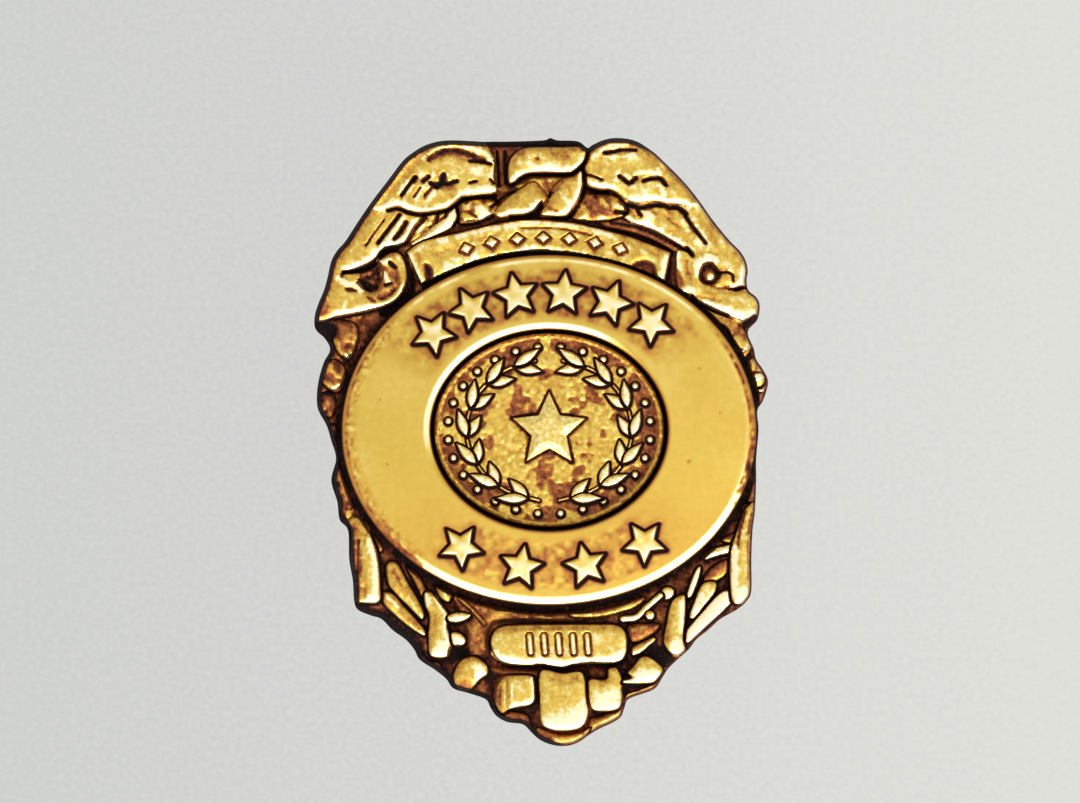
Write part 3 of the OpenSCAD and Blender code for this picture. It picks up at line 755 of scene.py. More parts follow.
    # The leg's feathers, rough and half dark
    s.form([(-3.55, 9.5), (-2.3, 9.65), (-2.0, 9.4), (-2.1, 9.0), (-2.6, 8.75), (-3.1, 8.6), (-3.6, 8.62),
            (-3.6, 9.0)], LOW + 0.1, foot=0.15, line=0.07, tone=AMBER)
    s.roughen([(-3.55, 9.5), (-2.3, 9.65), (-2.0, 9.4), (-2.1, 9.0), (-2.6, 8.75), (-3.6, 8.62)], 0.26, 63)
    s.patch([(-2.95, 9.35), (-2.6, 9.38), (-2.45, 9.1), (-2.7, 9.0), (-2.95, 9.12)], 0.02, 0.08, 0.04)
    s.patch([(-3.45, 9.5), (-3.1, 9.52), (-3.15, 9.25), (-3.45, 9.22)], 0.1, 0.08, 0.03)
    s.stroke([(-3.45, 8.95), (-3.1, 8.8)], 0.1, 0.12, 0.03)
    s.stroke([(-3.25, 9.12), (-2.9, 8.9)], 0.09, BROWN, -0.1)
    s.stroke([(-2.45, 8.8), (-2.05, 9.05)], 0.12, 0.9, -0.1)
    s.stroke([(-2.3, 9.75), (-2.0, 9.5), (-1.9, 9.2)], 0.12, 0.85, -0.1)


def draw_head_and_chest(s):
    """The eagle's head, which looks to the left, over the two lobes of its chest."""
    s.form([(-1.35, 10.25), (-0.6, 10.75), (0.5, 10.75), (1.2, 10.75), (1.3, 9.7), (0.9, 9.1), (0.0, 9.1),
            (-0.5, 9.6), (-1.1, 10.0)], 0.55, foot=0.2, bevel=0.3, line=0.05, tone=0.46, line_tone=BROWN)
    s.roughen([(-1.0, 10.1), (-0.5, 10.5), (0.5, 10.5), (0.4, 9.9), (0.1, 9.5)], 0.24, 80)
    s.form([(-0.55, 10.38), (-0.2, 10.12), (0.1, 9.7), (-0.2, 9.32), (-0.69, 8.98), (-1.38, 8.91),
            (-1.94, 8.85), (-2.14, 9.1), (-1.75, 9.55), (-1.2, 10.0)], HIGH, foot=0.5, line=0.05, tone=0.26,
           line_tone=COPPER)
    s.glint([(-1.6, 9.04), (-1.0, 9.1), (-0.65, 9.24), (-0.25, 9.56)], 0.1)
    s.ground([(-1.5, 8.93), (-0.95, 8.97), (-0.6, 9.08), (-0.38, 9.25), (-0.2, 9.5), (-0.12, 9.45),
              (-0.12, 8.85), (-0.6, 8.8), (-1.4, 8.8)], 0.1, BLACK, 0.05)
    s.stroke([(-1.2, 9.75), (-0.9, 9.5)], 0.1, AMBER, -0.04)
    s.slit([(-1.28, 9.95), (-1.7, 9.72), (-2.0, 9.5), (-2.28, 9.3)], 0.09, 0.1)
    s.stroke([(-2.0, 10.08), (-1.5, 10.0)], 0.1, 0.42, 0.04)
    s.patch([(-1.95, 9.35), (-1.6, 9.75), (-1.35, 9.6), (-1.75, 9.2)], 0.38, 0.1, -0.03)
    s.form([(1.5, 10.82), (1.55, 10.25), (1.42, 9.71), (1.15, 9.25), (0.85, 8.92), (0.27, 8.9),
            (-0.18, 8.96), (-0.12, 9.2), (0.1, 9.5), (0.2, 9.96), (0.44, 10.3), (0.69, 10.5), (1.06, 10.6)],
           HIGH + 0.05, foot=0.5, line=0.06, tone=0.24, line_tone=COPPER)
    s.slit([(1.62, 10.75), (1.66, 10.25), (1.52, 9.68), (1.22, 9.16), (0.95, 8.86), (0.3, 8.83)], 0.11, 0.1)
    s.glint([(1.43, 10.7), (1.45, 10.25), (1.3, 9.7), (0.95, 9.2), (0.6, 9.0)], 0.13, 0.02)
    s.patch([(-0.45, 10.1), (-0.1, 10.2), (0.15, 9.95), (0.05, 9.6), (-0.15, 9.6)], 0.46, 0.12, -0.03)
    s.patch([(0.15, 10.3), (0.6, 10.5), (0.75, 10.2), (0.35, 9.85), (0.15, 9.9)], 0.5, 0.1, -0.08)
    s.slit([(0.24, 9.9), (0.16, 9.74)], 0.1, 0.12)
    s.stroke([(0.1, 9.3), (0.45, 9.15)], 0.1, 0.5, -0.05)
    s.stroke([(0.95, 10.2), (1.05, 9.75)], 0.1, AMBER, -0.04)
    s.stroke([(0.62, 9.9), (0.85, 9.5)], 0.1, 0.06, 0.03)
    # The head, with a painted highlight along its lower edge over a black line
    s.form([(-1.55, 10.3), (-1.58, 10.92), (-1.5, 11.25), (-1.27, 11.55), (-0.9, 11.75), (-0.35, 11.8),
            (0.65, 11.8), (1.23, 11.82), (1.65, 11.75), (1.7, 11.5), (1.58, 11.17), (1.2, 10.8),
            (0.85, 10.7), (-0.56, 10.7), (-1.06, 10.52), (-1.27, 10.33)], TOP, foot=0.25, bevel=0.14,
           line=0.15, tone=0.25)
    s.glint([(-1.42, 10.45), (-1.15, 10.68), (-0.6, 10.82), (0.2, 10.84), (0.9, 10.84), (1.25, 10.98),
             (1.52, 11.3)], 0.12, 0)
    s.stroke([(-1.1, 11.08), (-0.4, 11.12), (0.4, 11.13), (1.2, 11.22)], 0.08, 0.14, 0.01)
    s.stroke([(-1.3, 10.95), (-1.38, 11.2), (-1.2, 11.4)], 0.09, 0.36, -0.02)
    s.roughen([(-1.45, 11.0), (-1.3, 11.45), (-0.8, 11.7), (1.5, 11.75), (1.5, 11.4), (0.9, 11.05),
               (-1.0, 11.0)], 0.12, 76)
    s.stroke([(-0.36, 11.34), (-0.34, 11.3)], 0.1, BROWN, -0.08)
    s.stroke([(-1.35, 11.2), (-0.9, 11.62), (0.3, 11.68), (1.5, 11.66)], 0.14, 0.42, -0.03)
    s.stroke([(0.2, 11.45), (0.9, 11.42)], 0.1, 0.5, -0.03)
    s.slit([(-1.68, 11.6), (-1.68, 10.9), (-1.64, 10.3)], 0.1)
    s.slit([(-2.03, 11.6), (-1.98, 10.9), (-1.95, 10.2)], 0.09)


def draw_right_wing(s):
    """The eagle's wing on the right."""
    s.form([(3.1, 9.2), (3.3, 8.8), (3.77, 8.56), (4.3, 8.38), (4.77, 8.16), (5.2, 7.92), (5.65, 7.65),
            (6.02, 7.4), (6.1, 7.0), (6.08, 6.5), (6.2, 6.1), (6.6, 5.9), (7.35, 5.86), (8.1, 5.93),
            (8.6, 6.1), (8.7, 6.7), (8.45, 7.35), (8.0, 7.8), (7.3, 8.6), (6.65, 9.5), (6.0, 10.3),
            (4.8, 11.1), (3.9, 11.3), (3.2, 10.0)], MID, foot=0.35, line=0.05, tone=0.25, line_tone=0.9)
    s.roughen([(3.6, 9.0), (4.8, 8.5), (6.2, 7.6), (6.4, 6.4), (7.4, 6.2), (8.3, 6.5), (8.0, 7.5),
               (7.2, 8.4), (6.5, 9.2), (5.0, 9.3), (3.8, 9.3)], 0.13, 77, 0.1)
    s.stroke([(2.7, 8.66), (3.77, 8.47), (4.77, 8.07), (5.5, 7.66)], 0.08, 0.95, -0.08)
    s.stroke([(2.67, 8.38), (3.77, 8.12), (4.77, 7.72), (5.3, 7.42)], 0.09, 0.95, -0.08)
    s.stroke([(3.0, 8.48), (4.0, 8.22), (5.2, 7.68)], 0.09, COPPER, 0.03)
    s.stroke([(3.6, 8.7), (4.4, 8.5), (5.1, 8.1), (5.75, 7.75), (6.2, 7.5)], 0.12, 0.04, 0.03)
    s.slit([(5.83, 8.92), (6.15, 8.45), (6.68, 7.79)], 0.12)
    s.stroke([(5.65, 8.75), (5.96, 8.25), (6.5, 7.65)], 0.11, 0.04, 0.03)
    s.stroke([(6.05, 8.95), (6.5, 8.25), (6.95, 7.65)], 0.1, 0.1, 0.03)
    s.stroke([(4.85, 9.1), (5.2, 8.75), (5.5, 8.5)], 0.09, 0.45, -0.06)
    s.stroke([(5.2, 8.95), (5.6, 8.5)], 0.08, 0.3, -0.03)
    s.patch([(3.9, 9.1), (4.4, 9.15), (4.55, 8.85), (4.3, 8.65), (4.0, 8.75)], 0.03, 0.09, 0.04)
    s.stroke([(3.85, 9.12), (3.98, 8.95)], 0.12, 0.95, -0.12)
    s.stroke([(4.35, 9.22), (4.55, 9.05)], 0.09, 0.5, -0.06)
    s.stroke([(3.5, 9.15), (3.75, 8.85)], 0.1, 0.45, -0.05)
    s.form([(1.6, 11.1), (1.75, 11.6), (2.25, 12.1), (3.05, 12.35), (3.85, 12.2), (4.5, 11.75),
            (5.1, 11.15), (5.9, 10.3), (6.6, 9.5), (6.4, 9.3), (6.08, 9.3), (5.8, 9.35), (5.4, 9.4),
            (5.0, 9.42), (4.6, 9.5), (4.2, 9.47), (3.85, 9.43), (3.5, 9.5), (3.2, 9.7), (2.85, 9.95),
            (2.55, 10.0), (2.1, 10.05), (1.66, 10.3)], HIGH, foot=0.55, line=0.0, tone=0.24)
    s.roughen([(1.9, 11.0), (2.4, 11.9), (3.2, 12.1), (4.4, 11.6), (5.8, 10.2), (6.3, 9.6), (4.2, 9.8),
               (2.8, 10.2), (1.9, 10.5)], 0.12, 78, 0.1)
    s.slit([(1.58, 10.75), (1.6, 11.1), (1.78, 11.55), (2.0, 11.75)], 0.09)
    s.glint([(2.0, 11.35), (2.32, 11.68), (2.75, 11.87), (3.4, 11.9)], 0.13)
    s.slit([(2.46, 11.55), (2.9, 11.61), (3.2, 11.68), (3.75, 11.67)], 0.12)
    s.stroke([(3.55, 11.85), (3.95, 11.78), (4.3, 11.5)], 0.12, AMBER, -0.03)
    s.stroke([(2.45, 11.36), (3.1, 11.38), (3.75, 11.4)], 0.09, 0.03, 0.03)
    s.stroke([(1.66, 10.66), (2.0, 10.57), (2.36, 10.42)], 0.09, 0.9, -0.12)
    s.glint([(1.72, 10.4), (2.15, 10.22), (2.6, 10.14)], 0.14, 0.04)
    s.stroke([(1.62, 10.15), (2.07, 9.96), (2.66, 9.97)], 0.11, 0.92, -0.15)
    s.stroke([(3.0, 10.75), (2.95, 10.35)], 0.1, 0.02, 0.03)
    s.glint([(3.72, 10.66), (4.2, 10.7), (4.8, 10.66)], 0.09)
    s.slit([(3.08, 10.58), (3.34, 10.37), (3.53, 10.3), (3.76, 10.5)], 0.14, 0.18)
    s.glint([(3.35, 10.62), (3.52, 10.54)], 0.09, 0.02)
    s.slit([(4.08, 10.38), (4.36, 10.46), (4.75, 10.48), (5.02, 10.2)], 0.13, 0.16)
    s.stroke([(4.75, 10.22), (4.9, 9.95)], 0.11, 0.02, 0.03)
    s.stroke([(3.6, 10.15), (3.9, 10.2), (4.2, 9.95)], 0.12, 0.1, 0.02)
    s.stroke([(2.82, 9.82), (3.18, 9.57)], 0.12, 0.95, -0.12)
    s.slit([(3.45, 9.4), (3.92, 9.28), (4.68, 9.38), (5.13, 9.28), (5.51, 9.26), (5.85, 9.02)], 0.15, 0.2)
    s.glint([(3.5, 9.66), (4.1, 9.64), (4.87, 9.62), (5.5, 9.5)], 0.12)
    s.glint([(5.95, 9.25), (6.15, 9.42)], 0.1)
    s.stroke([(5.2, 10.7), (5.75, 10.1), (6.2, 9.55)], 0.14, 0.36, -0.03)
    # The leg's feathers
    s.form([(1.5, 9.78), (2.1, 9.85), (2.8, 9.8), (3.3, 9.5), (3.45, 9.15), (3.1, 8.85), (2.2, 8.7),
            (1.1, 8.85)], LOW + 0.1, foot=0.15, line=0.06, tone=0.46, line_tone=0.85)
    s.roughen([(1.5, 9.78), (2.8, 9.8), (3.3, 9.5), (3.45, 9.15), (3.1, 8.85), (1.1, 8.85)], 0.26, 65)
    s.stroke([(1.55, 9.3), (1.3, 9.0)], 0.1, GOLD, 0.03)
    s.stroke([(2.85, 9.36), (3.3, 9.3)], 0.13, 0.05, 0.04)
    s.slit([(2.95, 9.1), (3.4, 9.05)], 0.13)
    s.stroke([(1.65, 9.5), (1.9, 9.25)], 0.1, BROWN, -0.08)
    s.stroke([(2.3, 9.6), (2.55, 9.35)], 0.12, 0.12, 0.03)
    s.stroke([(2.0, 9.2), (2.6, 9.0)], 0.12, 0.6, -0.05)


BANNER = [
    (-5.82, 7.42), (-5.45, 7.72), (-4.85, 7.97), (-2.9, 8.42), (-1.69, 8.7), (-0.5, 8.8), (0.73, 8.74),
    (1.9, 8.5), (3.52, 8.08), (5.24, 7.42), (4.92, 5.75), (3.5, 6.6), (1.9, 7.13), (0.31, 7.4),
    (-1.27, 7.36), (-2.9, 7.0), (-4.1, 6.53), (-5.2, 6.08)
]
LOZENGES = 7
LOZENGE_ARC = 11.5            # radius of the arc that the banner's lozenges follow
LOZENGE_STEP = 5.4            # angle between lozenges, in degrees


def draw_banner(s):
    """The banner under the eagle, with a bright upper edge and low lozenges for its words."""
    ends = np.vstack([smooth(BANNER[:10], False), smooth(BANNER[10:], False)])
    s.form(ends, MID, bevel=0.14, line=0.12, tone=0.22, curved=False)
    s.stroke([(-5.3, 7.5), (-4.85, 7.78), (-2.9, 8.26), (-1.69, 8.53), (-0.5, 8.64), (0.73, 8.58),
              (1.9, 8.34), (3.0, 8.06)], 0.13, 0.03, 0.03)
    s.stroke([(-1.0, 8.42), (-0.5, 8.44), (0.73, 8.38), (1.9, 8.12)], 0.08, 0.65, -0.08)
    s.stroke([(-4.5, 7.35), (-3.2, 7.85), (-1.9, 8.2)], 0.1, 0.34, -0.04)
    s.stroke([(-4.3, 6.8), (-3.5, 7.15), (-2.8, 7.33)], 0.12, 0.04, 0.03)
    s.stroke([(-1.9, 7.62), (-0.3, 7.68), (1.2, 7.52), (2.4, 7.2)], 0.1, 0.14, 0.02)
    s.stroke([(3.0, 8.0), (3.9, 7.7), (4.7, 7.3)], 0.13, 0.32, -0.04)
    s.glint([(-5.6, 7.2), (-5.42, 6.75), (-5.28, 6.4)], 0.18, 0.04)
    s.stroke([(-5.3, 7.3), (-5.1, 6.9)], 0.12, 0.42, -0.04)
    s.glint([(5.0, 7.2), (4.92, 6.7), (4.8, 6.15)], 0.17, 0.04)
    s.patch([(3.65, 6.9), (4.0, 7.05), (4.45, 6.95), (4.6, 6.5), (4.5, 6.1), (4.2, 6.2), (3.75, 6.55)],
            0.88, 0.1, -0.2)
    s.patch([(3.85, 6.75), (4.2, 6.85), (4.42, 6.6), (4.3, 6.35), (4.0, 6.5)], 0.58, 0.09, -0.05)
    s.patch([(-5.05, 6.9), (-4.78, 6.8), (-4.7, 6.35), (-4.95, 6.25)], 0.9, 0.08, -0.18)
    s.roughen(ends[::4], 0.08, 67)
    middle = (OVAL_AT - 0.25, 8.03 - LOZENGE_ARC)
    for i in range(LOZENGES):
        angle = math.radians((i - (LOZENGES - 1) / 2) * LOZENGE_STEP)
        at = (middle[0] + LOZENGE_ARC * math.sin(angle), middle[1] + LOZENGE_ARC * math.cos(angle))
        shape = turned([(-0.3, 0), (0, -0.25), (0.3, 0), (0, 0.25)], at, -angle)
        s.form(shape, MID + 0.1, foot=MID - 0.08, bevel=0.1, line=0.12, tone=0.04, line_tone=0.72,
               curved=False)


def draw_left_scroll(s):
    """The curl beside the banner's left end: one sweep from its tail round to its top."""
    s.form([(-9.3, 6.4), (-8.75, 6.4), (-8.3, 6.35), (-7.85, 6.15), (-7.55, 5.88), (-7.2, 5.8),
            (-6.98, 6.2), (-6.88, 6.6), (-6.98, 6.98), (-6.69, 7.28), (-6.35, 7.42), (-6.02, 7.34),
            (-5.84, 6.95), (-5.76, 6.5), (-5.79, 6.1), (-5.93, 5.75), (-6.2, 5.42), (-6.6, 5.18),
            (-7.1, 5.02), (-7.5, 4.92), (-8.15, 4.8), (-8.8, 4.68), (-9.5, 4.5), (-9.9, 4.9), (-9.7, 5.5)],
           MID, foot=0.15, line=0.09, tone=0.25)
    # The wing's leading edge runs down into the tail
    s.ground([(-9.5, 7.05), (-8.85, 7.0), (-8.52, 6.72), (-8.5, 6.4), (-8.65, 6.0), (-9.0, 5.7),
              (-9.6, 5.7)], MID, 0.32, 0.1)
    s.ground([(-7.95, 6.45), (-7.55, 6.6), (-7.15, 6.82), (-6.9, 6.95), (-6.8, 6.53), (-6.9, 6.13),
              (-7.05, 5.83), (-7.4, 5.83), (-7.65, 6.03), (-7.8, 6.23)], 0.3, 0.68, 0.07)
    s.roughen([(-8.0, 6.5), (-7.4, 6.7), (-6.95, 6.8), (-7.0, 6.0), (-7.6, 6.1)], 0.24, 61)
    s.ground([(-8.42, 6.5), (-8.0, 6.54), (-7.7, 6.52), (-7.78, 6.2), (-8.1, 6.15), (-8.4, 6.25)], MID,
             0.34, 0.06)
    s.stroke([(-7.8, 6.42), (-7.55, 6.5), (-7.35, 6.56)], 0.1, 0.5, 0.06)
    s.stroke([(-7.76, 6.25), (-7.58, 5.98), (-7.3, 5.84)], 0.11, 0.95, -0.05)
    s.stroke([(-7.62, 6.22), (-7.4, 6.05), (-7.1, 5.95)], 0.16, 0.95, -0.1)
    s.stroke([(-7.02, 6.7), (-6.95, 6.3)], 0.1, 0.95, -0.08)
    s.slit([(-8.42, 6.58), (-7.85, 6.6), (-7.35, 6.78), (-7.02, 7.08), (-6.82, 7.42), (-6.5, 7.52),
            (-6.2, 7.55)], 0.12)
    # A painted highlight streak and a dark notch on the tail, and a painted highlight along its foot
    s.stroke([(-8.6, 6.33), (-8.36, 6.14), (-7.98, 6.1), (-7.68, 5.82)], 0.19, -0.05, 0.05)
    s.stroke([(-8.25, 5.87), (-7.95, 5.8)], 0.12, 0.9, -0.1)
    s.stroke([(-8.1, 5.62), (-8.4, 5.1)], 0.08, 0.08, 0.02)
    s.stroke([(-8.75, 4.84), (-8.2, 4.94), (-7.6, 5.06), (-7.15, 5.17)], 0.18, -0.05, 0.03)
    s.stroke([(-6.85, 5.26), (-6.5, 5.36), (-6.18, 5.62), (-5.98, 5.98)], 0.1, 0.06, 0.03)
    s.stroke([(-5.92, 6.1), (-5.88, 6.5), (-5.96, 6.95), (-6.15, 7.2)], 0.12, 0.14, 0.03)
    s.patch([(-9.5, 5.5), (-9.0, 5.3), (-9.0, 4.8), (-9.35, 4.75)], 0.56, 0.12, -0.03)
    # Inside the curl: an olive hollow with dark and bright flecks
    hollow = [(-6.8, 6.82), (-6.45, 6.88), (-6.2, 6.75), (-6.06, 6.4), (-6.1, 6.0), (-6.35, 5.68),
              (-6.7, 5.42), (-7.0, 5.5), (-6.95, 5.8), (-6.85, 6.2)]
    s.patch(hollow, 0.56, 0.07, -0.12)
    s.roughen(hollow, 0.16, 69, 0.08)
    s.stroke([(-6.95, 7.05), (-6.75, 7.0), (-6.5, 7.1)], 0.15, -0.05, 0.05)
    s.slit([(-6.48, 6.98), (-6.28, 6.8)], 0.15, 0.12)
    s.stroke([(-6.72, 6.52), (-6.58, 6.22)], 0.16, -0.08, 0.06)
    s.stroke([(-6.68, 6.05), (-6.42, 6.12)], 0.1, 0.98, -0.1)
    s.stroke([(-6.8, 5.5), (-6.5, 5.66), (-6.3, 5.86)], 0.11, 0.82, -0.06)
    s.stroke([(-6.85, 5.72), (-6.62, 5.88)], 0.1, 0.12, 0.03)
    s.stroke([(-7.35, 5.52), (-7.15, 5.38)], 0.11, BROWN, -0.06)
    # Painted shadow: black ground under the tail's left end
    s.ground([(-9.5, 4.45), (-8.95, 4.48), (-8.7, 4.3), (-8.75, 3.95), (-9.1, 3.75)], 0.0, BLACK)
    s.slit([(-5.62, 7.3), (-5.58, 6.9), (-5.52, 6.4), (-5.6, 5.85), (-5.92, 5.4), (-6.35, 5.08),
            (-6.8, 4.88)], 0.21, 0.2)


def draw_right_scroll(s):
    """The strip, curl and tail beside the banner's right end; the curl is the wing's own lower end."""
    s.form([(5.8, 5.98), (6.2, 5.98), (6.77, 5.88), (7.44, 5.84), (8.02, 5.87), (8.7, 5.85), (9.1, 5.5),
            (9.15, 4.9), (8.85, 4.4), (8.31, 4.52), (7.81, 4.66), (7.35, 4.84), (6.9, 5.04), (6.4, 5.3),
            (5.95, 5.6)], MID, foot=0.4, line=0.05, tone=0.22, line_tone=COPPER)
    s.ground([(5.45, 7.45), (5.75, 7.5), (6.1, 7.3), (6.25, 6.9), (6.27, 6.35), (6.4, 6.1), (7.0, 6.0),
              (7.5, 5.98), (7.6, 5.72), (6.9, 5.7), (6.2, 5.7), (5.6, 5.75), (5.42, 6.3), (5.42, 6.9)], MID,
             0.24, 0.07)
    s.stroke([(5.52, 7.38), (5.48, 7.05), (5.58, 6.78)], 0.15, -0.02, 0.03)
    s.stroke([(5.88, 7.05), (5.86, 6.75), (5.94, 6.5)], 0.13, 0.58, -0.06)
    s.stroke([(6.08, 7.0), (6.06, 6.6), (6.12, 6.3)], 0.09, 0.38, -0.04)
    s.stroke([(5.72, 6.9), (5.72, 6.4)], 0.08, 0.08, 0.02)
    s.patch([(5.36, 6.7), (5.58, 6.6), (5.76, 6.12), (5.58, 5.82), (5.38, 6.1)], 0.64, 0.08, -0.08)
    s.slit([(5.88, 7.6), (6.12, 7.28)], 0.13)
    s.stroke([(6.28, 6.5), (6.32, 6.9), (6.55, 7.12), (6.88, 7.18), (7.12, 7.08)], 0.21, -0.08, 0.04)
    s.ground([(6.45, 6.62), (6.62, 6.92), (6.9, 6.98), (7.12, 6.8), (7.32, 6.5), (7.2, 6.25), (6.95, 6.05),
              (6.6, 6.1), (6.42, 6.32)], 0.3, 0.94, 0.06)
    s.form([(6.56, 6.6), (6.75, 6.8), (6.95, 6.74), (7.1, 6.5), (7.06, 6.3), (6.8, 6.18), (6.58, 6.35)],
           0.45, foot=0.3, bevel=0.15, line=0.03, tone=0.6)
    s.patch(round_shape((6.9, 6.38), 0.16, 8), BURNISHED_AND_HIGHLIGHT, 0.08, 0.03)
    s.stroke([(7.3, 6.55), (7.55, 6.58), (7.78, 6.48), (7.82, 6.25)], 0.09, 0.95, -0.12)
    s.stroke([(6.95, 6.0), (7.25, 5.9), (7.6, 5.98)], 0.1, 0.6, -0.06)
    s.stroke([(7.45, 6.35), (7.5, 6.12)], 0.13, 0.34, 0.02)
    s.stroke([(8.2, 6.75), (8.22, 6.35), (8.05, 6.08)], 0.15, -0.02, 0.03)
    s.stroke([(7.5, 5.92), (7.95, 5.84)], 0.07, BROWN, -0.06)
    s.slit([(7.9, 5.84), (8.33, 5.95), (8.6, 5.8), (8.84, 5.53)], 0.11)
    # The tail's streaks, its dark lower line and the copper ground under it
    s.stroke([(5.75, 5.86), (6.0, 5.84), (6.3, 5.78)], 0.17, -0.05, 0.03)
    s.stroke([(6.3, 5.62), (6.8, 5.48), (7.3, 5.4)], 0.12, 0.42, -0.06)
    s.stroke([(6.6, 5.38), (7.05, 5.22), (7.65, 5.08)], 0.13, -0.02, 0.03)
    s.stroke([(7.2, 5.62), (7.9, 5.5), (8.5, 5.3)], 0.1, 0.1, 0.02)
    s.ground([(6.15, 5.42), (6.6, 5.12), (7.1, 4.9), (7.7, 4.68), (8.05, 4.5), (7.8, 4.1), (7.2, 4.5),
              (6.5, 4.95)], 0.35, 0.46, 0.05)
    s.ground([(6.7, 4.64), (7.1, 4.5), (7.45, 4.36), (7.68, 4.08), (7.85, 3.55), (7.5, 3.5), (7.0, 4.2)],
             0.0, BLACK, 0.06)
    s.stroke([(6.1, 5.6), (6.45, 5.28), (6.95, 5.02), (7.6, 4.77)], 0.1, 0.95, -0.12)
    s.patch([(7.75, 4.92), (8.2, 5.02), (8.7, 5.0), (8.7, 4.66), (8.35, 4.52), (7.85, 4.6)], -0.08, 0.08,
            0.02)
    s.ground([(8.2, 4.45), (8.5, 4.68), (8.75, 4.82), (8.95, 4.6), (8.7, 3.9), (8.4, 3.95)], 0.0, BLACK,
             0.06)


# Leaves down both sides of the oval: outline, patina, and where each one gets its painted highlight
SIDE_LEAVES = [
    ([(-8.85, 4.5), (-8.35, 4.6), (-7.9, 4.4), (-7.8, 3.92), (-7.95, 3.33), (-8.2, 2.95), (-8.6, 3.15),
      (-8.85, 3.67)], 0.5, (-8.25, 3.12)),
    ([(-9.25, 2.75), (-8.8, 2.95), (-8.4, 2.65), (-8.35, 2.08), (-8.6, 1.6), (-9.0, 1.65),
      (-9.4, 2.17)], 0.5, (-8.82, 1.78)),
    ([(-9.5, 1.5), (-8.9, 1.6), (-8.75, 1.2), (-8.85, 0.6), (-9.2, 0.6), (-9.6, 1.05)], 0.68, None),
    ([(-9.0, 0.2), (-8.6, 0.15), (-8.5, -0.5), (-8.6, -1.05), (-8.85, -0.7)], 0.66, None),
    ([(-8.75, -1.5), (-8.35, -1.6), (-8.1, -2.8), (-7.9, -3.6), (-8.3, -3.7), (-8.7, -2.9)], 0.64, None),
    ([(7.6, 4.25), (8.05, 4.4), (8.4, 4.05), (8.6, 3.5), (8.3, 3.0), (7.85, 3.2), (7.6, 3.75)], 0.44,
     (8.13, 3.3)),
    ([(8.5, 2.95), (8.95, 2.85), (9.3, 2.4), (9.3, 1.85), (8.95, 1.5), (8.5, 1.75), (8.35, 2.29)], 0.38,
     (8.77, 2.08)),
    (round_shape((8.83, 2.1), 0.34, 8), 0.1, (8.83, 2.1)),
    ([(8.7, 1.55), (9.1, 1.5), (9.05, 0.9), (8.8, 0.5), (8.57, 0.95)], 0.54, None),
    ([(8.5, 0.4), (8.9, 0.4), (8.9, -2.0), (8.8, -3.5), (8.4, -3.4), (8.48, -2.0)], 0.54, None)
]


def draw_side_leaves(s):
    """The leaves beside the oval, each with its painted highlight streak."""
    for outline, tone, bright in SIDE_LEAVES:
        s.form(outline, LOW, bevel=0.16, line=0.07, tone=tone, line_tone=0.9)
        s.roughen(outline, 0.24, 31)
        if bright:
            end = (bright[0] + 0.22, bright[1] + 0.1)
            s.stroke([(bright[0] - 0.1, bright[1] - 0.03), bright, end], 0.09, -0.05, 0.04)


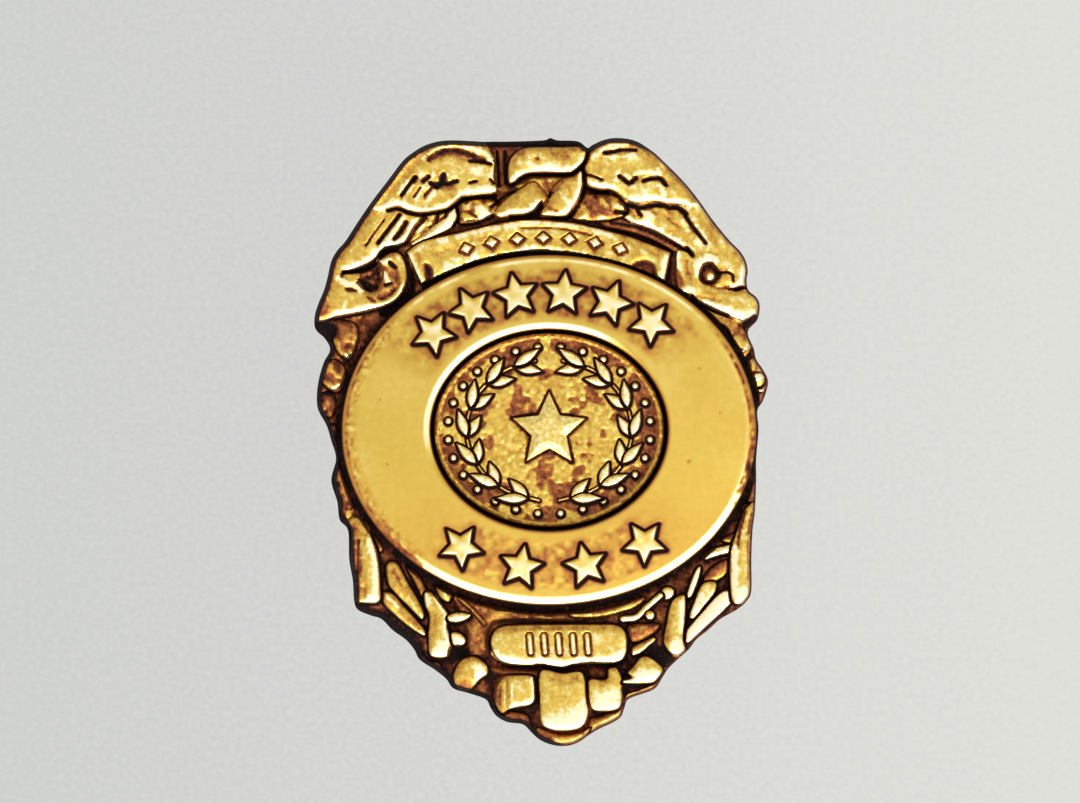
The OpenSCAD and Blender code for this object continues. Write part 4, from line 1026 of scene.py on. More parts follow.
def draw_lower_left(s):
    """Struts and blades between the oval and the foot, on the left."""
    # Painted shadow: black ground between the blades' lower ends, the knob and the outline
    s.ground([(-7.9, -7.35), (-7.2, -7.45), (-6.75, -7.6), (-6.2, -8.05), (-5.6, -8.5), (-5.15, -8.85),
              (-4.95, -9.5), (-4.4, -9.8), (-4.0, -10.2), (-4.3, -10.6), (-5.3, -9.9), (-5.9, -9.1),
              (-6.6, -8.5), (-7.5, -8.0)], 0.03, BLACK)
    s.form([(-7.25, -4.4), (-6.9, -4.5), (-6.75, -4.95), (-7.0, -5.1)], 0.35, foot=0.05, bevel=0.12,
           line=0.08, tone=0.52)
    # The blades between the two struts
    s.form([(-6.66, -5.6), (-6.2, -5.5), (-5.72, -6.35), (-5.22, -7.2), (-5.03, -7.7), (-5.2, -7.9),
            (-5.73, -7.38), (-6.28, -6.83), (-6.6, -6.37)], 0.48, foot=0.05, bevel=0.15, tone=0.3)
    s.stroke([(-6.35, -5.8), (-6.0, -6.5)], 0.1, COPPER, -0.04)
    s.stroke([(-5.75, -6.9), (-5.4, -7.45)], 0.11, 0.1, 0.03)
    s.form([(-6.82, -6.75), (-6.35, -6.82), (-5.87, -7.36), (-5.3, -7.98), (-4.97, -8.4), (-5.08, -8.6),
            (-5.66, -8.25), (-6.21, -7.8), (-6.75, -7.25)], 0.48, foot=0.05, bevel=0.15, tone=0.32)
    s.stroke([(-6.6, -6.95), (-6.15, -7.4)], 0.13, 0.04, 0.03)
    s.stroke([(-5.7, -7.85), (-5.3, -8.25)], 0.14, 0.48, -0.03)
    # The outer strut, with painted shade on its left side and painted highlights down its right side and at
    # its foot
    s.form([(-7.95, -3.6), (-7.65, -3.75), (-7.3, -4.3), (-7.02, -5.0), (-6.92, -5.6), (-6.87, -6.5),
            (-6.87, -7.05), (-7.1, -7.24), (-7.6, -7.22), (-8.0, -7.15), (-8.2, -6.8), (-8.2, -5.8),
            (-8.1, -4.9), (-8.1, -4.2), (-8.2, -3.8)], MID + 0.05, bevel=0.18, line=0.12, tone=0.22)
    shade = [(-8.3, -3.4), (-7.55, -3.5), (-7.25, -4.05), (-7.5, -4.5), (-7.54, -5.4), (-7.5, -6.2),
             (-7.5, -7.0), (-8.0, -7.15), (-8.2, -6.6), (-8.2, -5.6), (-8.15, -4.6)]
    s.patch(shade, 0.48, 0.06, -0.08)
    s.roughen(shade, 0.2, 73, 0.08)
    s.stroke([(-7.78, -4.6), (-7.82, -5.6), (-7.8, -6.9)], 0.08, 0.85, -0.06)
    s.stroke([(-7.62, -4.9), (-7.6, -5.4), (-7.56, -6.5)], 0.07, 0.25, 0.02)
    s.stroke([(-7.95, -4.2), (-8.0, -5.2), (-7.98, -6.4)], 0.07, 0.34, 0.02)
    s.stroke([(-7.36, -4.6), (-7.18, -5.2), (-7.08, -6.0), (-7.06, -6.95)], 0.16, -0.05, 0.02)
    s.patch([(-7.45, -6.9), (-7.0, -6.8), (-6.98, -7.12), (-7.35, -7.15)], -0.08, 0.09)
    # The inner stem and strut
    s.strand([(-5.65, -5.7), (-5.35, -6.25), (-5.05, -6.85)], 0.17, 0.42, foot=0.05, line=0.1, tone=0.48)
    s.form([(-5.08, -6.8), (-4.8, -6.72), (-4.5, -7.06), (-3.98, -7.75), (-4.08, -8.17), (-3.9, -8.79),
            (-3.92, -9.34), (-4.2, -9.5), (-4.6, -9.5), (-4.86, -9.3), (-4.9, -8.45), (-4.86, -7.75),
            (-5.04, -7.3)], MID + 0.05, bevel=0.18, line=0.12, tone=0.22)
    s.glint([(-4.97, -6.85), (-4.9, -7.3)], 0.12, 0.02)
    s.glint([(-4.62, -6.98), (-4.18, -7.7), (-4.22, -8.25), (-4.06, -8.8)], 0.12, 0.02)
    s.stroke([(-4.7, -7.5), (-4.6, -8.0), (-4.68, -8.6)], 0.11, AMBER, -0.04)
    s.patch([(-4.65, -8.95), (-4.05, -8.75), (-4.0, -9.3), (-4.3, -9.44), (-4.65, -9.4)], BURNISHED_AND_HIGHLIGHT, 0.12)
    s.form([(-4.11, -7.75), (-3.73, -7.58), (-3.2, -7.63), (-3.1, -7.75), (-3.35, -7.95), (-3.73, -8.05),
            (-4.05, -7.98)], MID, foot=0.2, bevel=0.14, tone=BURNISHED_AND_HIGHLIGHT)
    s.form([(-3.92, -8.42), (-3.55, -8.45), (-3.3, -8.75), (-3.45, -9.0), (-3.8, -9.02), (-3.95, -8.75)],
           MID, foot=0.2, bevel=0.14, tone=BURNISHED_AND_HIGHLIGHT)
    s.form([(-4.6, -6.55), (-4.2, -6.5), (-3.9, -6.85), (-4.05, -7.2), (-4.4, -7.0)], 0.45, bevel=0.15,
           line=0.09, tone=0.44)
    s.stroke([(-4.2, -6.7), (-4.15, -6.95)], 0.1, 0.05, 0.03)
    s.strand([(-3.6, -7.0), (-3.1, -7.45), (-2.55, -8.05)], 0.09, 0.4, foot=0.22, line=0.07, tone=0.46,
             line_tone=BROWN)
    s.stroke([(-2.55, -8.0), (-2.1, -7.65), (-1.4, -7.55)], 0.13, 0.42, 0.05)
    s.stroke([(-1.95, -7.5), (-1.4, -7.55)], 0.1, 0.12, 0.02)
    s.stroke([(-3.2, -8.2), (-2.8, -8.7)], 0.1, 0.44, 0.04)
    s.stroke([(-3.1, -9.15), (-2.7, -8.95)], 0.1, AMBER, 0.04)
    s.ground([(-3.95, -9.1), (-3.3, -9.1), (-3.25, -9.4), (-3.8, -9.7), (-4.0, -9.9)], 0.05, BLACK, 0.1)
    s.form([(-5.1, -9.35), (-4.85, -9.6), (-4.45, -9.7), (-4.3, -10.1), (-4.8, -9.95), (-5.2, -9.7)], 0.3,
           foot=0.05, bevel=0.12, line=0.06, tone=COPPER)


def draw_lower_right(s):
    """Struts and blades between the oval and the foot, on the right."""
    s.strand([(8.35, -3.2), (8.25, -3.8), (8.05, -4.5)], 0.14, 0.5, foot=0.05, line=0.08, tone=0.32)
    s.form([(7.3, -4.55), (7.7, -4.35), (8.05, -4.2), (8.05, -4.65), (7.6, -4.75)], 0.35, foot=0.05,
           bevel=0.12, line=0.08, tone=0.42)
    s.strand([(6.7, -5.22), (7.23, -5.05), (7.8, -4.94)], 0.2, MID, line=0.12, tone=-0.05)
    s.form([(7.58, -5.4), (7.62, -5.9), (7.25, -6.25), (6.7, -6.4), (6.6, -6.12), (7.03, -5.65)], 0.45,
           foot=0.05, bevel=0.15, line=0.09, tone=0.5)
    s.form([(6.55, -6.38), (7.1, -6.33), (7.1, -6.75), (6.65, -7.34), (6.22, -7.86), (5.97, -7.78),
            (6.15, -7.2)], MID, bevel=0.14, tone=0.16)
    s.stroke([(6.5, -6.9), (6.15, -7.6)], 0.15, -0.05, 0.02)
    s.form([(6.28, -5.75), (6.5, -5.72), (6.38, -6.3), (6.1, -6.95), (5.85, -6.95), (6.0, -6.4)], MID,
           bevel=0.1, line=0.12, tone=-0.06)
    s.form([(7.25, -6.78), (7.79, -6.68), (7.9, -7.0), (7.46, -7.52), (6.7, -8.22), (6.02, -8.85),
            (5.8, -8.78), (5.83, -8.38), (6.41, -7.7)], MID, foot=0.05, bevel=0.12, line=0.15, tone=-0.08)
    s.form([(7.78, -4.7), (8.0, -4.1), (8.3, -3.3), (8.7, -3.0), (8.9, -3.6), (8.8, -5.2), (8.8, -6.4),
            (8.6, -7.0), (8.4, -7.25), (8.0, -7.28), (7.82, -7.2), (7.7, -6.8), (7.66, -5.7), (7.7, -5.1)],
           MID + 0.05, bevel=0.16, line=0.13, tone=0.15)
    s.stroke([(8.3, -3.4), (8.1, -4.2), (7.98, -4.9)], 0.1, BROWN, -0.1)
    s.stroke([(8.6, -3.5), (8.45, -4.3)], 0.1, 0.6, -0.06)
    s.stroke([(8.42, -4.6), (8.48, -5.4), (8.46, -6.2)], 0.1, 0.34, -0.03)
    s.stroke([(8.15, -4.7), (8.15, -5.6)], 0.1, 0.3, -0.03)
    s.stroke([(7.9, -4.9), (7.86, -5.6), (7.86, -6.5)], 0.17, -0.05)
    # Painted highlight at the strut's foot
    s.patch([(7.85, -6.62), (8.4, -6.6), (8.4, -7.12), (7.95, -7.18)], -0.08, 0.09)
    # The inner strut, with a painted highlight at its foot
    s.form([(5.37, -7.0), (5.82, -6.88), (5.85, -7.75), (5.75, -8.7), (5.84, -9.1), (5.74, -9.34),
            (5.32, -9.38), (5.04, -9.14), (4.9, -8.75), (5.04, -8.03), (5.15, -7.41)], MID + 0.05,
           bevel=0.16, line=0.13, tone=0.16)
    s.patch([(5.2, -8.8), (5.7, -8.75), (5.72, -9.35), (5.35, -9.42)], -0.08)
    s.stroke([(5.7, -7.1), (5.7, -7.9), (5.6, -8.6)], 0.13, -0.02)
    s.stroke([(5.25, -7.7), (5.1, -8.3), (5.05, -8.8)], 0.11, AMBER, -0.03)
    # Small pieces between the inner strut and the number plate
    s.form([(4.85, -6.6), (5.15, -6.5), (5.4, -6.7), (5.3, -7.0), (5.0, -7.1), (4.82, -6.9)], MID - 0.05,
           bevel=0.15, line=0.09, tone=0.06)
    s.form([(1.0, -7.62), (1.85, -7.55), (3.1, -7.28), (4.0, -6.95), (4.15, -7.1), (3.7, -7.45),
            (3.1, -7.65), (2.2, -7.85), (1.2, -7.85)], 0.35, foot=0.15, bevel=0.15, line=0.06, tone=0.44,
           line_tone=BROWN)
    s.stroke([(1.2, -7.68), (1.9, -7.66)], 0.09, 0.1, 0.02)
    s.stroke([(3.0, -7.5), (3.6, -7.25)], 0.1, 0.25, 0.03)
    s.strand([(3.22, -7.88), (3.78, -7.8), (4.19, -7.41), (4.78, -6.9)], 0.15, MID, foot=0.15,
             tone=BURNISHED_AND_HIGHLIGHT)
    s.glint([(3.3, -7.88), (3.75, -7.85)], 0.16, 0)
    s.form(round_shape((4.36, -7.72), 0.22), 0.5, bevel=0.12, line=0.09, tone=0.03)
    s.form([(3.45, -8.15), (4.6, -8.05), (4.75, -8.25), (4.2, -8.72), (3.6, -8.85)], 0.38, tone=COPPER)
    s.stroke([(3.6, -8.35), (4.2, -8.2)], 0.1, 0.42, 0.03)
    s.form([(3.6, -9.05), (4.1, -8.8), (4.5, -8.62), (4.62, -8.75), (4.3, -9.05), (3.95, -9.35),
            (3.6, -9.4)], 0.5, bevel=0.14, line=0.09, tone=GOLD)
    s.ground([(4.26, -9.25), (4.61, -8.93), (5.3, -9.55), (5.3, -9.85), (4.9, -9.95)], 0.05, BLACK)


# Low ledges round the foot and the patina of each
LEDGES = [
    ([(-2.15, -11.55), (-1.4, -11.72), (-0.75, -11.9), (-0.6, -12.55), (-1.2, -12.5), (-2.1, -12.3)], 0.5),
    ([(1.85, -12.05), (2.4, -11.9), (3.3, -11.4), (3.6, -11.6), (2.8, -12.3), (1.9, -12.6)], 0.34),
    ([(-0.35, -12.4), (0.3, -12.62), (0.9, -12.68), (1.5, -12.55), (1.9, -12.4), (1.5, -13.0),
      (0.75, -13.4), (0.1, -13.3), (-0.35, -12.95)], 0.38),
    ([(3.35, -11.05), (3.9, -10.84), (4.35, -10.64), (4.72, -10.25), (4.95, -9.9), (5.3, -10.0),
      (4.9, -10.9), (4.0, -11.3), (3.4, -11.5)], 0.16)
]
NUMBER_PLATE = [
    (-2.3, -8.93), (-2.2, -8.45), (-1.85, -8.18), (-1.2, -8.1), (0.5, -8.08), (2.2, -8.08), (2.9, -8.1),
    (3.3, -8.35), (3.42, -8.86), (3.3, -9.5), (2.8, -9.74), (1.84, -9.74), (1.15, -9.8), (0.67, -9.92),
    (-0.23, -9.78), (-0.6, -9.83), (-1.5, -9.78), (-2.07, -9.5)
]
TALLY_BARS = 5
TALLY_STEP = 0.6


def draw_foot(s):
    """The knobs, the lobes under the number plate and the plate itself."""
    s.ground([(-2.4, -9.95), (0.0, -10.0), (3.3, -9.95), (3.5, -10.9), (3.0, -11.8), (1.7, -12.4),
              (0.2, -12.7), (-1.2, -12.1), (-2.2, -11.5)], 0.05, 0.92, 0.12)
    s.ground([(-2.3, -9.95), (-1.6, -10.0), (-0.4, -10.05), (0.4, -10.05), (0.4, -10.25), (-1.6, -10.25)],
             0.2, 0.58)
    s.ground([(1.9, -10.0), (2.5, -9.98), (2.5, -10.3), (1.95, -10.3)], 0.15, 0.68)
    for ledge, tone in LEDGES:
        s.form(ledge, 0.3, foot=0.0, bevel=0.15, line=0.06, tone=tone)
    s.stroke([(0.45, -12.98), (0.95, -12.96), (1.4, -12.78)], 0.2, 0.14, 0.02)
    s.stroke([(2.3, -12.2), (2.9, -11.95), (3.35, -11.62)], 0.1, 0.12, 0.02)
    s.patch([(-0.4, -12.5), (0.1, -12.65), (0.3, -12.95), (0.0, -13.1), (-0.4, -12.8)], 0.62, 0.1, -0.04)
    # The left knob and the left lobe, with painted shade on the lobe's left side; here the knobs and lobes
    # get painted highlights on their right and lower sides
    s.form([(-3.85, -10.2), (-3.55, -9.6), (-2.97, -9.42), (-2.48, -9.75), (-2.38, -10.15), (-2.72, -10.42),
            (-3.0, -10.72), (-3.35, -10.95), (-3.72, -10.75)], HIGH - 0.1, bevel=0.22, line=0.11, tone=0.26)
    s.patch([(-2.95, -9.65), (-2.55, -9.8), (-2.55, -10.1), (-2.85, -10.3), (-3.1, -10.1)], BURNISHED_AND_HIGHLIGHT, 0.12,
            0.02)
    s.stroke([(-3.2, -9.85), (-3.0, -10.25)], 0.09, 0.36, -0.04)
    s.patch([(-3.7, -10.45), (-3.2, -10.45), (-3.05, -10.7), (-3.4, -10.9)], 0.46, 0.12, -0.05)
    s.form([(-1.98, -10.5), (-1.7, -10.24), (-1.3, -10.2), (-0.75, -10.2), (-0.48, -10.3), (-0.42, -10.8),
            (-0.42, -11.25), (-0.65, -11.48), (-1.1, -11.56), (-1.5, -11.66), (-1.8, -11.82),
            (-2.05, -11.5), (-2.08, -10.95)], HIGH - 0.05, bevel=0.16, tone=0.18)
    s.patch([(-2.0, -10.4), (-1.62, -10.25), (-1.54, -10.7), (-1.52, -11.3), (-1.58, -11.68),
             (-1.8, -11.85), (-2.08, -11.5), (-2.1, -10.9)], 0.46, 0.06, -0.12)
    s.stroke([(-1.74, -10.5), (-1.72, -11.45)], 0.07, 0.14, 0.02)
    s.stroke([(-1.88, -10.7), (-1.88, -11.4)], 0.07, 0.72, -0.04)
    s.stroke([(-0.56, -10.4), (-0.56, -11.12), (-0.85, -11.38), (-1.4, -11.48)], 0.16, -0.05)
    s.stroke([(-1.4, -10.5), (-1.4, -11.2)], 0.09, 0.02, 0.02)
    s.form([(1.78, -10.42), (2.5, -10.38), (2.6, -9.95), (2.95, -9.88), (3.2, -10.38), (3.2, -11.21),
            (2.98, -11.66), (2.12, -11.72), (1.82, -11.42)], HIGH, bevel=0.16, line=0.11, tone=0.18)
    s.patch([(1.98, -11.0), (3.0, -10.85), (2.95, -11.5), (2.2, -11.58)], BURNISHED_AND_HIGHLIGHT, 0.32)
    s.form([(-0.22, -10.03), (0.7, -10.12), (1.57, -10.12), (1.72, -11.21), (1.8, -11.83), (1.5, -12.4),
            (0.81, -12.55), (0.19, -12.48), (-0.2, -12.18), (-0.26, -11.2)], HIGH + 0.05, bevel=0.18,
           line=0.12, tone=0.17)
    s.patch([(-0.1, -11.75), (0.8, -11.7), (1.5, -11.2), (1.68, -11.8), (1.4, -12.32), (0.8, -12.42),
             (0.1, -12.3)], 0.02, 0.5)
    s.stroke([(0.0, -12.05), (0.3, -12.3), (0.85, -12.4), (1.4, -12.2), (1.62, -11.6)], 0.16, -0.05)
    s.stroke([(0.1, -10.3), (0.9, -10.45), (1.3, -10.3)], 0.16, 0.42, -0.05)
    s.form([(3.4, -10.1), (3.64, -9.85), (3.92, -9.5), (4.26, -9.42), (4.7, -9.7), (4.9, -10.03),
            (4.6, -10.47), (4.26, -10.58), (3.3, -10.58), (3.2, -10.42), (3.55, -10.32)], HIGH - 0.1,
           tone=0.16)
    s.patch([(3.75, -10.05), (4.3, -9.95), (4.7, -10.05), (4.4, -10.4), (3.75, -10.48)], BURNISHED_AND_HIGHLIGHT, 0.12)
    s.glint([(3.35, -10.47), (3.8, -10.42)], 0.1, 0)
    s.ground([(3.22, -10.66), (3.9, -10.62), (4.35, -10.62), (3.9, -10.76), (3.45, -10.86), (3.3, -11.2)],
             0.02, BLACK, 0.06)
    # The number plate, with a painted highlight along its lower edge, and tally bars for its number
    s.form(NUMBER_PLATE, HIGH - 0.05, line=0.15, tone=0.16)
    s.glint([(-2.12, -9.3), (-1.85, -9.52), (-1.3, -9.65), (-0.3, -9.63), (0.67, -9.74), (1.3, -9.62),
             (2.2, -9.56), (2.9, -9.5), (3.15, -9.3)], 0.2, 0)
    s.stroke([(-2.0, -8.35), (-0.5, -8.24), (1.5, -8.24), (2.9, -8.24)], 0.13, AMBER, -0.03)
    s.stroke([(3.2, -8.6), (3.22, -9.2)], 0.13, 0.04)
    for i in range(TALLY_BARS):
        middle = OVAL_AT + 0.4 + (i - (TALLY_BARS - 1) / 2) * TALLY_STEP
        bar = [(middle - 0.03, -8.55), (middle + 0.03, -9.25)]
        s.strand(bar, 0.12, HIGH + 0.06, foot=HIGH - 0.15, tone=0.03, line_tone=0.72)


EDGE_ROUND = 0.2              # the casting's edge is rounded over this width
EDGE_DROP = 0.22
EDGE_LINE = 0.24              # width of the black line round the casting
THIN_EDGE_LINE = 0.11         # the same along the right side, where it is brown
THIN_EDGE_TONE = 0.82
MOAT = (0.3, 0.05)            # black groove round the oval: its width at the sides, and how deep
WING_SLANT = (0.67, 0.74)     # the way that the streaks run, down and out along the wings
CASTING_RASTER = 0.025        # spacing of the raster that the casting is drawn on
OUTLINE_STEP = 0.07           # distance between the points of its edge
CASTING_NODES = 86000         # most points of the casting's relief
POST_SEGMENTS = 48
# The casting's wall from its edge down to its flat back: inset, height and patina
CASTING_WALL = [
    (0.0, FACE_Z - EDGE_DROP - 0.12, 0.86), (0.02, BACK_Z + 0.45, 0.7), (0.02, BACK_Z + 0.14, 0.52),
    (0.05, BACK_Z + 0.05, 0.38), (0.13, BACK_Z, 0.3)
]


def casting_relief(loop):
    """Everything on the casting's face but the band, as one sheet."""
    s = Sheet((-9.9, -13.5), (9.6, 12.5), CASTING_RASTER)
    s.tone[:] = 0.7 + 0.2 * waves(s.x, s.y, 0.6, 1) + 0.14 * waves(s.x, s.y, 0.25, 2)
    s.z[:] = 0.03 * waves(s.x, s.y, 0.4, 3)
    for draw in (draw_grounds, draw_side_leaves, draw_lower_left, draw_lower_right, draw_foot,
                 draw_right_wing, draw_left_wing, draw_head_and_chest, draw_left_scroll,
                 draw_right_scroll, draw_banner):
        draw(s)
    wear_and_light = 1 - s.tone
    s.z += wear_and_light * (0.02 * waves(s.x, s.y, 0.6, 4) + 0.01 * waves(s.x, s.y, 0.28, 5))
    # Clouds, and streaks that run along the wings; rubbed-bright places and painted highlights stay clean
    # and are made paler still
    along = WING_SLANT[0] * np.abs(s.x) - WING_SLANT[1] * s.y
    across = WING_SLANT[1] * np.abs(s.x) + WING_SLANT[0] * s.y
    streaks = np.tanh(2 * waves(0.45 * along, across, 0.17, 7))
    bright = 1 - eased(s.tone / 0.12)
    s.tone += wear_and_light * (1 - bright) * (0.02 + 0.07 * np.tanh(2 * waves(s.x, s.y, 0.4, 6)) + 0.1 * streaks)
    s.tone -= 0.08 * bright
    round_off_edge(s, loop)
    sink_under_band(s)
    np.clip(s.tone, -0.1, 1, out=s.tone)
    return s


def round_off_edge(s, loop):
    """Rounds the casting's edge down and blackens it."""
    away = s.depth_inside(s.whole(), loop, max(EDGE_ROUND, 1.3 * EDGE_LINE))
    s.z += np.minimum(-EDGE_DROP - s.z, 0) * eased(1 - np.abs(away) / EDGE_ROUND)
    right_side = eased((s.x - 3.3) / 1.2) * eased((12.2 - s.y) / 0.8)
    right_of_foot = eased((s.x - 0.1) / 0.9) * (s.y < -9.5)
    thin = np.maximum(right_side, right_of_foot)
    width = EDGE_LINE + (THIN_EDGE_LINE - EDGE_LINE) * thin
    line = 1 - eased((np.abs(away) - 0.7 * width) / (0.5 * width))
    s.stain(BLACK + (THIN_EDGE_TONE - BLACK) * thin, line)
    top_bar = (s.y > 11.8) & (s.x > -2.4) & (s.x < 1.7)
    s.tone[top_bar] = BLACK
    s.z[top_bar] = np.minimum(s.z[top_bar], 0.0)


def sink_under_band(s):
    """Cuts the black groove round the oval, and the flat seat of the band and the seal."""
    out = -oval_distance(s.x, s.y, OVAL)
    up = np.sin(oval_turn(s.x, s.y))
    width = MOAT[0] + 0.12 * np.maximum(-up, 0) - 0.2 * np.maximum(up, 0) ** 2
    shade = 1 - eased((out - 0.6 * width) / (0.5 * width))
    s.stain(0.95 + 0.07 * waves(s.x, s.y, 0.3, 19), shade)
    s.z += (np.minimum(s.z, -MOAT[1]) - s.z) * shade
    hidden = out < -0.1
    s.z[hidden] = 0.0
    s.tone[hidden] = BLACK
    s.z[oval_distance(s.x, s.y, OPENING) > 0] = -POCKET


POST_R = 0.55
POST_TIP_R = 0.22
POST_TIP_Z = 0.8
POST_TAPER = 0.8
FILLET = (0.55, 0.35)         # reach of the solder fillet round the post's foot, and its height
FILLET_TONE = 0.35
# The post under its fillet: radius and height
POST = [
    (POST_R, BACK_Z - 1.2), (POST_R, BACK_Z - 3.4), (POST_R, POST_TIP_Z + POST_TAPER),
    (0.5 * (POST_R + POST_TIP_R) + 0.03, POST_TIP_Z + POST_TAPER / 2),
    (POST_TIP_R, POST_TIP_Z + 0.06), (POST_TIP_R - 0.08, POST_TIP_Z)
]


def add_post(shell, ring_count):
    """The soldered post, from its fillet on the badge's back to its tip; returns its outermost ring."""
    fillet = [(POST_R + FILLET[0] * (1 - math.sin(a)), BACK_Z - FILLET[1] * (1 - math.cos(a)))
              for a in np.linspace(0, math.pi / 2, 7)]
    rings = [(round_shape((0, 0), radius, ring_count), z, tone)
             for part, tone in ((fillet, FILLET_TONE), (POST, GOLD)) for radius, z in part]
    foot = shell.add(*rings[0])
    tip = shell.wall(foot, rings[1:])
    shell.faces.append(tip[::-1].tolist())
    return foot


def casting():
    """The badge's casting: its relief, walls, flat back and soldered post, as one closed mesh."""
    loop = evenly(smooth(OUTLINE), OUTLINE_STEP)
    s = casting_relief(loop)
    shell = Shell()
    rim = shell.relief(s, loop, FACE_Z, s.depth_inside(s.whole(), loop, 0.2) > 0.03, CASTING_NODES)
    rim = shell.wall(rim, [(inset(loop, by), z, tone) for by, z, tone in CASTING_WALL])
    numbers = np.concatenate([rim, add_post(shell, POST_SEGMENTS)])
    loops = [list(range(len(rim))), list(range(len(rim), len(numbers)))]
    first = len(shell.faces)
    shell.faces.extend(numbers[triangles_of(shell.plan(numbers), loops)][:, ::-1].tolist())
    return shell.make("badge_casting", ANTIQUE_GOLD, range(first, len(shell.faces)))


# The band

STAR_R = 0.95
STAR_INNER = 0.48
STAR_RISE = 0.2
# Angle of each star round the oval, and how far it is turned over
UPPER_STARS = [(93.3 + (i - 2.5) * 16.8, 0) for i in range(6)]
LOWER_STARS = [(271.5 + (i - 1.5) * 22.8, 180) for i in range(4)]
OUTER_CHAMFER = 0.36          # width of the slope round the band's outer edge
INNER_CHAMFER = 0.3           # and round its opening
OUTER_LIT_SIDE = 289.0            # angle round the band where the outer slope faces the lamps and gets its painted highlight, and the same for the inner one
INNER_LIT_SIDE = 125.0
CHAMFER_SLOPE = 0.48
CHAMFER_BLEND = 0.05          # the slopes meet the dome in a curve of about this size
UPPER_ZONE = (28.0, 158.0)    # angles between which the stars' grounds are stained
LOWER_ZONE = (222.0, 318.0)
PITS = [(7.26, 0.77, 0.1), (5.96, -1.28, 0.16), (6.4, 2.6, 0.09), (-6.6, -1.4, 0.1), (-6.9, 1.3, 0.09)]
# The band's rings: part of the way from the opening to the outer edge, closest at both edges
BAND_RINGS = np.concatenate([
    np.linspace(0, 0.09, 9), np.linspace(0.09, 0.88, 58)[1:], np.linspace(0.88, 1, 11)[1:]
])
# Angles round the band and the step between them, closest where the stars are
BAND_STEPS = [(0, 38, 1.0), (38, 148, 0.2), (148, 228, 1.0), (228, 315, 0.2), (315, 360, 1.0)]
BAND_WALL = (0.25, -0.15)     # where the band's walls turn black, and their foot, over the face
FINE_RASTER = 0.02            # spacing of the rasters that the band and the seal are drawn on


def zone_weight(turn, zone, outer, outer_edge, inner):
    """1 on the dome between two angles, fading to 0 past them and towards the band's edges."""
    along = eased((turn - zone[0]) / 20) * eased((zone[1] - turn) / 20)
    return along * eased((outer - outer_edge) / 0.3) * eased((inner - 0.35) / 0.3)


def towards(turn, side, start, soft):
    """1 on the oval's side at an angle, fading to 0 where the cosine of the way there falls to start."""
    return eased((np.cos(np.radians(turn - side)) - start) / soft)


def rim_weight(away, width, soft):
    """1 along an edge as far as a width, then fading to 0."""
    return 1 - eased((away - width) / soft)


def band_relief():
    """Height and patina of the band's face."""
    s = Sheet((OVAL_AT - 9.0, -7.6), (OVAL_AT + 9.0, 7.6), FINE_RASTER)
    outer = oval_distance(s.x, s.y, OVAL)
    inner = -oval_distance(s.x, s.y, OPENING)
    turn = np.degrees(oval_turn(s.x, s.y)) % 360
    s.z = DOME_H + np.sqrt(DOME_R ** 2 - (s.x - OVAL_AT) ** 2 - s.y ** 2) - DOME_R
    # Painted shade: the band is darker towards the bottom, more so on the right
    shaded = eased((-s.y - 1.5) / 2.5) * (1 + 0.6 * eased(s.x / 4))
    s.tone[:] = GOLD + 0.03 * waves(s.x, s.y, 1.6, 11) + 0.06 * shaded
    # Copper and olive along the left edge, the side away from the lamps, partly stain and partly painted
    # shade; a rubbed rim along the top, and stains behind the stars
    copper, olive = rim_weight(outer, 0.16, 0.16), rim_weight(outer, 0.4, 0.35)
    flecks = 0.24 * olive * waves(s.x, s.y, 0.13, 16)
    s.tone += towards(turn, 185, 0.6, 0.2) * (0.3 * copper + 0.1 * olive + flecks)
    top_rim = eased((np.sin(np.radians(turn)) - 0.55) / 0.2) * rim_weight(outer, 0.24, 0.12)
    s.tone += top_rim * (-0.16 + 0.3 * np.maximum(waves(s.x, s.y, 0.35, 17), 0))
    upper = zone_weight(turn, UPPER_ZONE, outer, 0.45, inner)
    lower = zone_weight(turn, LOWER_ZONE, outer, 0.5, inner)
    blotch = waves(s.x, s.y, 0.3, 12) + 0.5 * waves(s.x, s.y, 0.15, 13)
    s.tone += upper * (0.18 + 0.17 * blotch) + lower * (0.12 + 0.16 * blotch)
    s.z += (upper + lower) * 0.012 * blotch
    for x, y, reach in PITS:
        pit = 1 - eased(np.hypot(s.x - x, s.y - y) / reach)
        s.stain(0.6, 0.8 * pit)
        s.z -= 0.02 * pit
    for angle, flip in UPPER_STARS + LOWER_STARS:
        add_star(s, oval_point((OVAL + OPENING) / 4, math.radians(angle)), math.radians(angle - 90 + flip))
    # A pale strip with a copper edge down the right side
    right = towards(turn, 5, 0.8, 0.15)
    pale = 0.1 + 0.12 * np.abs(waves(s.x, s.y, 0.18, 18))
    s.stain(pale, right * eased((outer - 0.26) / 0.1) * rim_weight(outer, 0.4, 0.12))
    s.stain(0.56 + 0.36 * waves(s.x, s.y, 0.18, 15), right * rim_weight(outer, 0.24, 0.1))
    # The slopes round both edges, narrower away from the lamps: a painted highlight on the side that faces
    # the lamps, painted shade in amber on the far side, and dark patina at their foot
    for away, width, side in ((outer, OUTER_CHAMFER, OUTER_LIT_SIDE), (inner, INNER_CHAMFER, INNER_LIT_SIDE)):
        wear_and_light = towards(turn, side, -0.1, 0.7)
        width = width * (0.35 + 0.65 * wear_and_light)
        s.z -= CHAMFER_SLOPE * np.sqrt(np.maximum(width - away, 0) ** 2 + CHAMFER_BLEND ** 2)
        s.z += CHAMFER_SLOPE * CHAMFER_BLEND
        s.z -= 0.12 * (1 - rounded(away / 0.06))
        edge = rim_weight(away, 0.8 * width, 0.1)
        s.stain(HIGHLIGHT_AND_WEAR_TONE, wear_and_light * edge * (s.tone < AMBER))
        s.stain(AMBER, (1 - wear_and_light) * edge)
        s.stain(0.9, 1 - eased(away / 0.05))
    np.clip(s.tone, 0, 1, out=s.tone)
    return s


